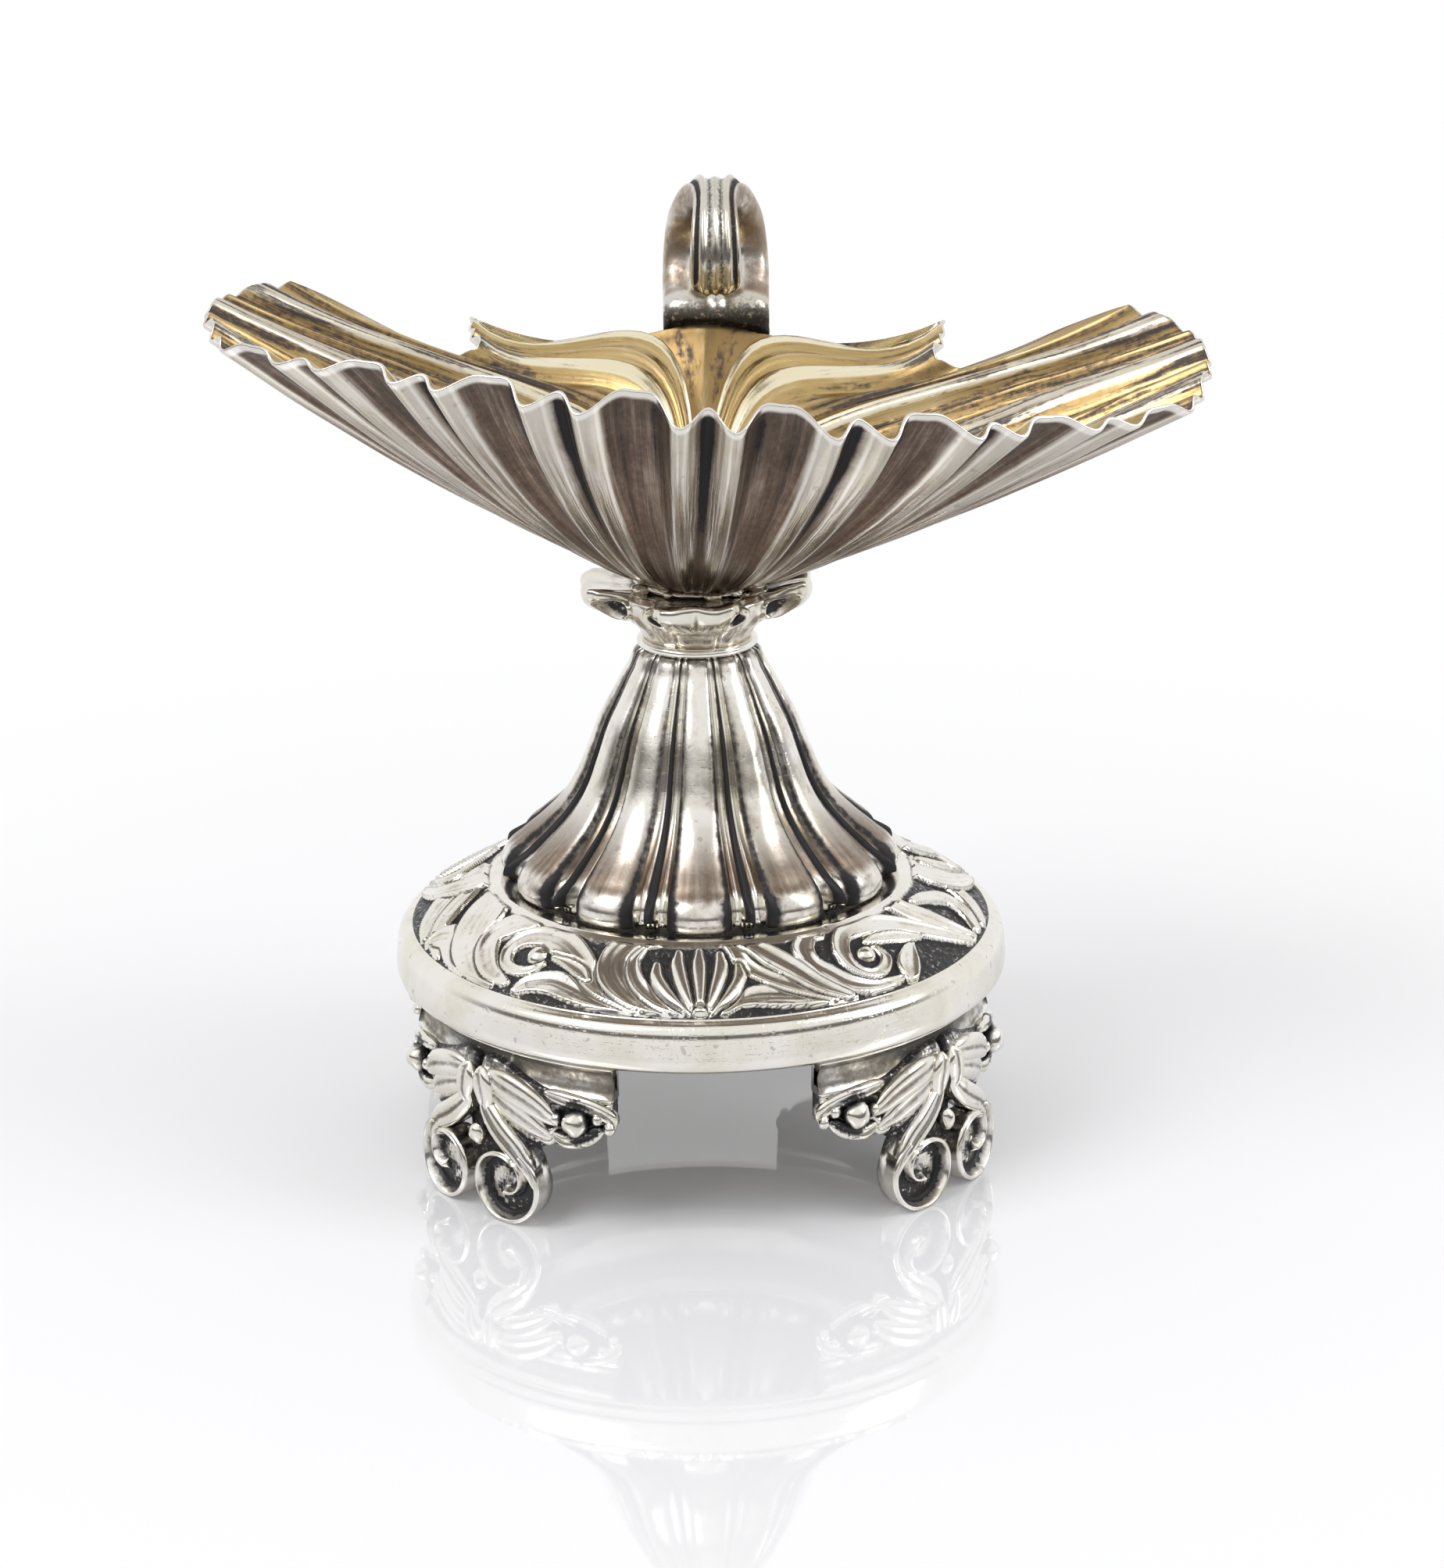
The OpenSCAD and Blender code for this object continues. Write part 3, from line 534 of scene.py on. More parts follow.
def bowl_points(turn, side, t, sheet):
    """Points of the shell for places (turn, side) and shares t up the wall, sheet above its outer skin."""
    g = [p[:, None, :] for p in guides(turn)]
    t = np.asarray(t, float)[None, :, None]
    mean, run = along(g, t), heading(g, t)
    flat = np.hypot(run[..., 0], run[..., 1])
    up = np.stack([-run[..., 0] * run[..., 2], -run[..., 1] * run[..., 2], flat ** 2], -1)
    up /= np.linalg.norm(up, axis=-1, keepdims=True)
    start = ease(t / 0.06)
    up = mix(np.array([0, 0, 1.0]), up, start)
    up /= np.linalg.norm(up, axis=-1, keepdims=True)
    wave = (curve_at(FLUTE_DEPTH, turn)[:, 0] * flute_height(turn))[:, None, None]
    swell = wave * 1.6 * np.minimum(1, 0.12 + 1.1 * t) * ease(t / 0.05)
    p = mean + (swell + np.asarray(sheet)[None, :, None]) * up
    warp = 2.4 * t[..., 0] * p[..., 0] * p[..., 1] / (BOWL_HALF * BOWL_FRONT)
    side = side[:, None]
    x, y = side * p[..., 0], p[..., 1]
    lip = 1.2 * t[..., 0] ** 4 * (1 - ease(turn / 3.5))[:, None]
    z = p[..., 2] + wave[..., 0] * lip + side * warp
    return on_seat(np.stack([x, y, z], -1))


def on_seat(p):
    """From the shell's own frame to the part's: leaning to the right on the solder."""
    x = p[..., 0] * math.cos(LEAN) + p[..., 2] * math.sin(LEAN)
    z = BOWL_SEAT_Z - p[..., 0] * math.sin(LEAN) + p[..., 2] * math.cos(LEAN)
    return np.stack([x, p[..., 1], z], -1)


def half_turns(steps, beak):
    """Places round half the rim, with one at each corner of it."""
    return np.concatenate([np.linspace(0, WING_TURN, int(WING_TURN * steps) + 1),
                           np.linspace(WING_TURN, NOTCH_TURN, steps + 1)[1:],
                           np.linspace(NOTCH_TURN, EAR_TURN, int((EAR_TURN - NOTCH_TURN) * steps) + 1)[1:],
                           np.linspace(EAR_TURN, BACK_TURN, beak + 1)[1:]])


def make_bowl(item):
    """The shell: up the outside, over the lip and down the gilt inside."""
    turn = half_turns(item.flute_steps, item.flute_steps)
    turns = np.concatenate([turn, turn[-2:0:-1]])
    side = np.concatenate([np.ones(len(turn)), -np.ones(len(turn) - 2)])
    rise = np.linspace(0, 1, item.wall_rows) ** 1.05
    lip = np.array([0.12, 0.5, 0.88]) * SHEET
    back = rise[::-2]
    t = np.concatenate([rise, np.ones(3), back])
    bulge = np.concatenate([np.zeros(len(rise)), [0.004, 0.006, 0.004], np.zeros(len(back))])
    sheet = np.concatenate([np.zeros(len(rise)), lip * 0.5, SHEET * mix(1, 0.5, ease((back - 0.7) / 0.3))])
    net = bowl_points(turns, side, t + bulge, sheet)
    dent = bumps(net.reshape(-1, 3), 9.0, SEED).reshape(net.shape[:2]) * 0.12
    net[..., 2] += dent * t[None, :]
    line = points_of(turns[:, None], t[None, :], flute_height(turns)[:, None])
    shell = Shell()
    shell.add_net(net, line=line, parts=(np.arange(net.shape[1] - 1) > len(rise) + 1).astype(int))
    shell.parts[-len(turns):] = [1] * len(turns)
    outside = silver("tarnished_fluted_silver", brown=0.6, black_at=(0.62, 0.9), scratch=0.3, chased=1.2,
                     bright=(0.54, 0.50, 0.45), brown_tone=(0.185, 0.13, 0.095))
    piece("bowl", shell, [outside, gilding("worn_gilding")], ["shell_bowl"], 0.9, 18)


# Handle

HANDLE_W, HANDLE_THICK, HANDLE_RISE, HANDLE_SET = 11.8, 3.8, 14.8, 2.4
SCROLL_CENTRE = np.array([0, 0.915 * BOWL_BACK, 0.895 * BOWL_DEPTH + SHEET + 0.56 * HANDLE_RISE])
SCROLL_START, SCROLL_END = -70, 222
HANDLE_REEDS, HANDLE_RING = 2.0, 46
# The straight root under the scroll, in millimetres and in rows, and the gap it keeps to the shell
ROOT_DROP, ROOT_ROWS, ROOT_GAP = 4.0, 13, 0.02
# Along the scroll from its root: reach from its centre over the rise, and shares of the width and thickness
SCROLL_REACH = [[0, 0.56], [0.27, 0.48], [0.56, 0.33], [0.8, 0.34], [1, 0.42]]
HANDLE_WIDTHS = [[0, 1], [0.15, 1], [0.28, 0.91], [0.36, 0.75], [0.44, 0.58], [0.52, 0.46], [0.62, 0.41],
                 [0.8, 0.46], [1, 0.5]]
HANDLE_THICKS = [[0, 1], [0.3, 1], [0.6, 0.95], [0.85, 0.8], [1, 0.9]]


def handle_section():
    """Half a section, from the seam on the inside round the edge to the seam on the outside."""
    a = (np.linspace(0, 1, HANDLE_RING) - 0.5) * math.pi
    across = np.cos(a) ** 0.55
    out = np.sign(np.sin(a)) * np.abs(np.sin(a)) ** 0.8
    groove = np.cos(across * HANDLE_REEDS * 2 * math.pi) * 0.14 * ease((1 - across) / 0.2 + 0.3)
    return across, out + np.where(out > 0.1, groove, 0)


def handle_net(side, steps):
    """One half of the handle, as sections along the scroll."""
    s = np.linspace(0, 1, steps)
    angle = np.radians(mix(SCROLL_START, SCROLL_END, s))
    reach = curve_at(SCROLL_REACH, s)[:, 0] * HANDLE_RISE
    y, z = SCROLL_CENTRE[1] + reach * np.cos(angle), SCROLL_CENTRE[2] + reach * np.sin(angle)
    drop = np.linspace(1, 0, ROOT_ROWS + 1)[:-1]
    y = np.concatenate([np.full(ROOT_ROWS, y[0]), y])
    z = np.concatenate([z[0] - ROOT_DROP * drop, z])
    s = np.concatenate([np.zeros(ROOT_ROWS), s])
    run = np.stack([np.gradient(y), np.gradient(z)], -1)
    run[:ROOT_ROWS - 3] = [0, 1]
    for _ in range(3):
        run[1:-1] = (run[:-2] + run[1:-1] + run[2:]) / 3
    run /= np.linalg.norm(run, axis=-1, keepdims=True)
    out = np.stack([run[:, 1], -run[:, 0]], -1)
    width = curve_at(HANDLE_WIDTHS, s)[:, 0] * HANDLE_W / 2
    thick = curve_at(HANDLE_THICKS, s)[:, 0] * HANDLE_THICK / 2
    tip = np.sqrt(np.clip(1 - (np.clip(s - 0.95, 0, 1) / 0.05) ** 2, 0.0, 1)) * 0.8 + 0.2
    across, depth = handle_section()
    tongue = ease((s - 0.3) / 0.3)[:, None]
    x = side * across[None, :] * (width * tip)[:, None]
    shoulder = (1 - tongue) * 0.25 * np.sin(across[None, :] * math.pi) * (depth[None, :] > 0)
    lift = (depth[None, :] + shoulder) * (thick * tip)[:, None]
    net = np.stack([x, y[:, None] + lift * out[:, :1], z[:, None] + lift * out[:, 1:]], -1)
    return net + [HANDLE_SET, 0, BOWL_SEAT_Z]


def clear_of_beak(points):
    """The root of the handle, filed to fit behind the rim of the beak."""
    count, rows = 60, 40
    turn, wall = np.linspace(EAR_TURN, BACK_TURN, count), np.linspace(0.6, 1, rows)
    turns, side = np.concatenate([turn, turn]), np.repeat([1.0, -1.0], count)
    skin, inner = [bowl_points(turns, side, wall, np.full(rows, sheet)).reshape(-1, 3)
                   for sheet in (0.0, SHEET)]
    away = (skin - inner) / SHEET
    rim = skin.reshape(2 * count, rows, 3)[:, -1]
    order = np.argsort(rim[:, 0])
    top = np.interp(points[:, 0], rim[order, 0], rim[order, 2])
    for k in np.nonzero(points[:, 2] < top + 0.6)[0]:
        near = np.argmin(((skin - points[k]) ** 2).sum(-1))
        deep = (points[k] - skin[near]) @ away[near]
        if deep < ROOT_GAP:
            points[k] += away[near] * (ROOT_GAP - deep)
    return points


def make_handle(item):
    """The two halves of the handle, black in the grooves between its reeds and at its root."""
    finish = silver("cast_silver_handle", brown=0.9, black_at=(0.36, 0.58), scratch=0.2, film_at=0.6,
                    bright=(0.66, 0.63, 0.58), ground=True)
    across, depth = handle_section()
    groove = ease((-np.cos(across * 2 * HANDLE_REEDS * math.pi) - 0.1) / 0.6) * (depth > 0)
    for side, name in ((-1, "left"), (1, "right")):
        net = handle_net(side, item.scroll_steps)
        net = clear_of_beak(net.reshape(-1, 3)).reshape(net.shape).transpose(1, 0, 2)
        root = ease((ROOT_ROWS + 4 - np.arange(net.shape[1])) / 7)
        line = np.zeros(net.shape)
        line[..., 2] = np.maximum(root[None, :], 0.9 * groove[:, None] * (1 - root))
        shell = Shell()
        shell.add_net(net, line=line)
        piece("handle_" + name, shell, [finish], ["handle_%s_half" % name], 0.32, 14)


# Solder and collar

# Up the collar: radius and height in a gap, over LEAF_GAP_R and the rise, then the same on a leaf
CALYX = [[0, 0.66, 0, 0.468, 0], [0.11, 0.74, 0.22, 0.52, 0.22], [0.22, 0.86, 0.42, 0.6, 0.38],
         [0.36, 0.97, 0.64, 0.74, 0.44], [0.5, 1, 0.8, 0.92, 0.6], [0.62, 0.99, 0.9, 1, 0.84],
         [0.74, 0.95, 0.96, 0.995, 1.1], [0.83, 0.9, 1, 0.9, 1.12], [0.92, 0.8, 1, 0.7, 1.04],
         [1, 0.72, 1, 0.503, 1]]
# Across the solder: radius, and share of its thickness
SOLDER_ROWS = [(0.0, -0.04), (5.4, -0.04), (6.2, 0.0), (6.7, 0.35), (6.75, 0.62), (6.2, 0.8)]
# Lumps of solder: degrees off the front, distance from the axis, size
LUMPS = [(-58, 6.9, 0.85), (-26, 6.7, 0.5), (14, 6.9, 0.8), (38, 6.6, 0.6), (66, 6.9, 0.9), (118, 6.8, 0.7),
         (165, 6.9, 0.8), (-128, 6.9, 0.8)]


def blob(centre, radii, seed, steps=18):
    """A lump of metal that has run and set: a ball pushed out of round."""
    u = np.linspace(0, 2 * math.pi, 2 * steps, endpoint=False)
    v = np.linspace(-0.5, 0.5, steps) * math.pi * 0.995
    ball = points_of(np.cos(u)[:, None] * np.cos(v), np.sin(u)[:, None] * np.cos(v), np.sin(v))
    grow = 1 + 0.22 * bumps(ball.reshape(-1, 3), 1.6, seed).reshape(ball.shape[:2])
    return ball * grow[..., None] * radii + centre


def polar(azimuth, radius, height):
    """A point by its azimuth in degrees off the front, positive towards +X."""
    a = np.radians(azimuth)
    return points_of(radius * np.sin(a), -radius * np.cos(a), height)


def make_solder():
    """The solder under the bowl: a pad that follows the bowl's lean, and lumps round it."""
    shell = Shell()
    around = np.linspace(-180, 180, 144, endpoint=False)
    tilt = np.sin(np.radians(around)) * -math.tan(LEAN)
    net = []
    for azimuth, lean in zip(around, tilt):
        row = []
        for radius, share in SOLDER_ROWS:
            lump = bumps(polar(azimuth, radius, share * 2.0)[None], 2.2, 5)[0]
            wide = radius + (0.35 * lump if share > 0 else 0)
            row.append(polar(azimuth, wide, SEAT_Z + share * (0.9 + lean * wide)))
        net.append(row)
    shell.add_net(np.array(net))
    for k, (azimuth, radius, size) in enumerate(LUMPS):
        centre = polar(azimuth, radius, SEAT_Z + 0.45)
        shell.add_net(blob(centre, np.array([1.3, 1.0, 0.7]) * size, 30 + k))
    finish = silver("set_solder", brown=0.7, black_at=(0.46, 0.7), scratch=0.1, bright=(0.66, 0.62, 0.56))
    piece("solder", shell, [finish], ["solder_pad"], 0.35, 10)


def make_collar(item):
    """Four broad leaves that curl out under the bowl, with a dent in each gap between them that is painted
    black as the shade of a hole.
    """
    around = np.linspace(-180, 180, 4 * item.leaf_steps, endpoint=False)
    v = np.linspace(0, 1, 90)
    rows = curve_at(CALYX, v)
    off = np.abs((around + 45) % 90 - 45)
    leaf = ease((np.cos(np.radians(4 * off)) + 0.75) / 1.1)
    notch = 1 - 0.035 * (np.cos(np.radians(off * 18)) * 0.5 + 0.5) * ease(1 - np.abs(leaf - 0.9) * 4)
    share = leaf[:, None]
    rise = SEAT_Z - NECK_Z - NECK_RING_H
    radius = mix(rows[:, 0] * LEAF_GAP_R, rows[:, 2] * LEAF_TIP_R * notch[:, None], share)
    height = NECK_Z + NECK_RING_H + rise * mix(rows[:, 1], rows[:, 3], share)
    outer = ease((0.98 - v) / 0.06)
    # Fine ribs low on the leaves, then the vein in the middle of each
    radius = radius + 0.16 * np.cos(np.radians(around * 20))[:, None] * bell((v - 0.25) / 0.2) * outer
    radius = radius - 0.35 * bell(off / 2.2)[:, None] * bell((v - 0.48) / 0.2)
    gap = np.hypot((off - 27)[:, None] / 7.5, (v - 0.44) / 0.12)
    radius = radius - 1.3 * ease(1.25 - gap) * outer + 0.34 * bell((gap - 1.35) / 0.22) * outer
    rough = points_of(around[:, None] / 6, v * 8, 0)
    radius = radius + 0.05 * bumps(rough.reshape(-1, 3), 2.0, 7).reshape(radius.shape)
    # The lip of each leaf is crumpled, and its middle hangs lower than its sides
    lip = ease((v - 0.45) / 0.15) * ease((0.97 - v) / 0.2) * ease((leaf - 0.3) / 0.4)[:, None]
    edge = points_of(around / 5, 0, 0)
    height = height + lip * 0.6 * bumps(edge, 2.6, 9)[:, None]
    radius = radius + lip * 0.35 * bumps(edge, 2.0, 10)[:, None]
    height = height + 1.6 * (off[:, None] / 24) ** 2 * bell((v - 0.5) / 0.13) * share
    net = polar(around[:, None], radius, height)
    line = np.zeros(net.shape)
    # The dents between the leaves are marked black, as the painted shade of holes
    line[..., 2] = ease((1.05 - gap) / 0.3) * outer
    shell = Shell()
    shell.add_net(net, line=line)
    finish = silver("cast_silver_leaves", brown=0.6, black_at=(0.5, 0.72), scratch=0.2, ground=True,
                    bright=(0.76, 0.72, 0.66))
    piece("leaf_collar", shell, [finish], ["calyx_collar"], 0.3, 14)


# Turned rings and pedestal, by Geometry Nodes

# Down the crest of a lobe: radius over the foot of the lobes, height over the pedestal's, depth of a valley
PEDESTAL = [[0.278, 1, 0.012], [0.35, 0.915, 0.02], [0.425, 0.8, 0.03], [0.495, 0.69, 0.04],
            [0.55, 0.57, 0.05], [0.61, 0.445, 0.062], [0.685, 0.345, 0.075], [0.785, 0.255, 0.088],
            [0.9, 0.17, 0.1], [0.985, 0.1, 0.11], [1, 0.045, 0.11], [0.965, 0, 0.09]]
# Across a lobe from its crest: how much of the depth of the valley is reached, with the rib last
VALLEY = [(0, 0), (0.25, 0.04), (0.5, 0.18), (0.64, 0.5), (0.75, 1), (0.84, 1), (0.9, 0.5), (1, 0.22)]
MERGE_REACH = 2e-6


def ruled(bench, share, rows):
    """A value that follows (place, value) rows, through a curve node."""
    low, high = min(value for _, value in rows), max(value for _, value in rows)
    high = high if high > low else low + 1
    points = [(place, (value - low) / (high - low)) for place, value in rows]
    curve = bench.make("ShaderNodeFloatCurve", {"points": points}, {"Factor": 1.0, "Value": share})
    return curve * (high - low) + low


def lathe(name, wall, grid, inputs, material, nodes, shape=None, hollow_scale=0.5, rounds=24):
    """A piece turned by Geometry Nodes. wall has rows of place, radius and height round the section."""
    tree = bpy.data.node_groups.new(name + "_turning", "GeometryNodeTree")
    bench = Bench(tree)
    tree.interface.new_socket("Geometry", in_out="OUTPUT", socket_type="NodeSocketGeometry")
    sockets = {label: tree.interface.new_socket(label, in_out="INPUT", socket_type="NodeSocketFloat")
               for label in inputs}
    entry = tree.nodes.new("NodeGroupInput")
    value = {label: Wire(bench, entry.outputs[label]) for label in inputs}
    sheet = bench.make("GeometryNodeMeshGrid", sockets={
        "Size X": 1.0, "Size Y": 1.0, "Vertices X": grid[0] + 1, "Vertices Y": grid[1] + 1})
    across, up, _ = bench.split(bench.make("GeometryNodeInputPosition"))
    angle, share = (across + 0.5) * (2 * math.pi), up + 0.5
    radius = ruled(bench, share, [(row[0], row[1]) for row in wall])
    height = ruled(bench, share, [(row[0], row[2]) for row in wall])
    if shape:
        radius = shape(bench, angle, share, radius, value)
    spot = bench.join(angle.math("SINE") * radius * value["Unit"],
                      angle.math("COSINE") * radius * value["Unit"] * -1, height * value["Unit"])
    moved = bench.make("GeometryNodeSetPosition", sockets={"Geometry": sheet, "Position": spot})
    joined = bench.make("GeometryNodeMergeByDistance", sockets={"Geometry": moved, "Distance": MERGE_REACH})
    whole = bench.make("GeometryNodeRealizeInstances", sockets={"Geometry": joined})
    done = bench.make("GeometryNodeSetMaterial", sockets={"Geometry": whole, "Material": material})
    bench.plug(tree.nodes.new("NodeGroupOutput").inputs[0], done)
    item = bpy.data.objects.new(name, bpy.data.meshes.new(name + "_start"))
    bpy.context.scene.collection.objects.link(item)
    modifier = item.modifiers.new("turning", "NODES")
    modifier.node_group = tree
    for label, socket in sockets.items():
        modifier[socket.identifier] = inputs[label]
    result = bpy.data.meshes.new_from_object(item.evaluated_get(bpy.context.evaluated_depsgraph_get()))
    item.modifiers.remove(modifier)
    item.data = result
    finish_mesh(result, hollow_scale, rounds)
    declare(item, nodes)


def lobes(bench, angle, share, radius, value):
    """Round lobes with grooves between them, and in each groove a thin rib that ends in a knuckle."""
    phase = angle * (LOBES / (2 * math.pi))
    off = (phase - (phase + 0.5).math("FLOOR")).math("ABSOLUTE") * 2
    rows = wall_of_pedestal()
    deep = ruled(bench, share, [(row[0], row[3]) for row in rows]) * value["Lobe Depth"]
    valley = ruled(bench, off, VALLEY)
    rib = off.step(0.86, 0.97)
    knuckle = share.step(0.50, 0.55) * (1 - share.step(0.585, 0.60))
    gap = share.step(0.595, 0.61) * (1 - share.step(0.66, 0.68))
    return radius - deep * (valley - rib * knuckle * 0.35 + rib * gap * 0.4)


def wall_of_pedestal():
    """Rows round the wall: the crown, down the outside, and up again inside the sheet."""
    height = NECK_Z - CREASE_Z
    outer = [(0.04 + 0.61 * k / (len(PEDESTAL) - 1), row[0] * LOBE_FOOT_R, CREASE_Z + row[1] * height,
              (1 + 0.9 * row[1]) * row[2] * LOBE_FOOT_R) for k, row in enumerate(PEDESTAL)]
    inner = [(0.68 + 0.28 * k / (len(PEDESTAL) - 1), row[0] * LOBE_FOOT_R - SHEET,
              CREASE_Z + row[1] * height - SHEET * row[1], row[2] * LOBE_FOOT_R)
             for k, row in enumerate(PEDESTAL[::-1])]
    return [(0, 0, NECK_Z, 0)] + outer + inner + [(1, 0, NECK_Z - SHEET, 0)]


def make_pedestal(item):
    """The trumpet pedestal with its lobes."""
    finish = silver("lobed_silver", brown=0.6, black_at=(0.58, 0.76), scratch=0.3, patch=True,
                    brown_tone=(0.19, 0.14, 0.1))
    inputs = {"Lobe Depth": item.lobe_depth, "Unit": MM}
    lathe("lobed_pedestal", wall_of_pedestal(), (item.lobe_steps * LOBES, 190), inputs, finish,
          ["fluted_pedestal"], lobes, 0.6, 14)


def make_rings():
    """The half-round bead of the neck, and the band with its swelling side and small broken edges."""
    plain = silver("plain_band_silver", brown=0.18, black_at=(0.7, 0.95), scratch=0.8)
    half, steps = NECK_RING_H / 2, 10
    middle, top, bore, flat = NECK_Z + half, NECK_Z + NECK_RING_H, NECK_R * 0.6, NECK_R * 0.98
    bead = [(0, bore, NECK_Z), (0.2, flat, NECK_Z)]
    for k in range(1, steps):
        a = math.pi * k / steps
        bead.append((0.2 + 0.6 * k / steps, NECK_R + half * math.sin(a), middle - half * math.cos(a)))
    bead += [(0.8, flat, top), (0.99, bore, top), (1, bore, NECK_Z)]
    lathe("neck_bead", bead, (180, 60), {"Unit": MM}, plain, ["neck_ring"])
    bore, edge, steps = BAND_TOP_R - SHEET, 0.12, 12
    band = [(0, bore, BAND_LOW_Z), (0.12, BAND_LOW_R - edge, BAND_LOW_Z),
            (0.14, BAND_LOW_R, BAND_LOW_Z + edge)]
    for k in range(1, steps):
        s = k / steps
        swell = (1 - abs(2 * s - 1) ** 5) * (BAND_SWELL_R - (BAND_TOP_R + BAND_LOW_R) / 2)
        radius = mix(BAND_LOW_R, BAND_TOP_R, s) + swell
        band.append((0.14 + 0.5 * s, radius, mix(BAND_LOW_Z, BAND_TOP_Z, s)))
    band += [(0.65, BAND_TOP_R, BAND_TOP_Z - 0.1), (0.67, BAND_TOP_R - 0.1, BAND_TOP_Z),
             (0.7, bore, BAND_TOP_Z), (1, bore, BAND_LOW_Z)]
    lathe("plain_band", band, (480, 110), {"Unit": MM}, plain, ["base_band"])


# Border

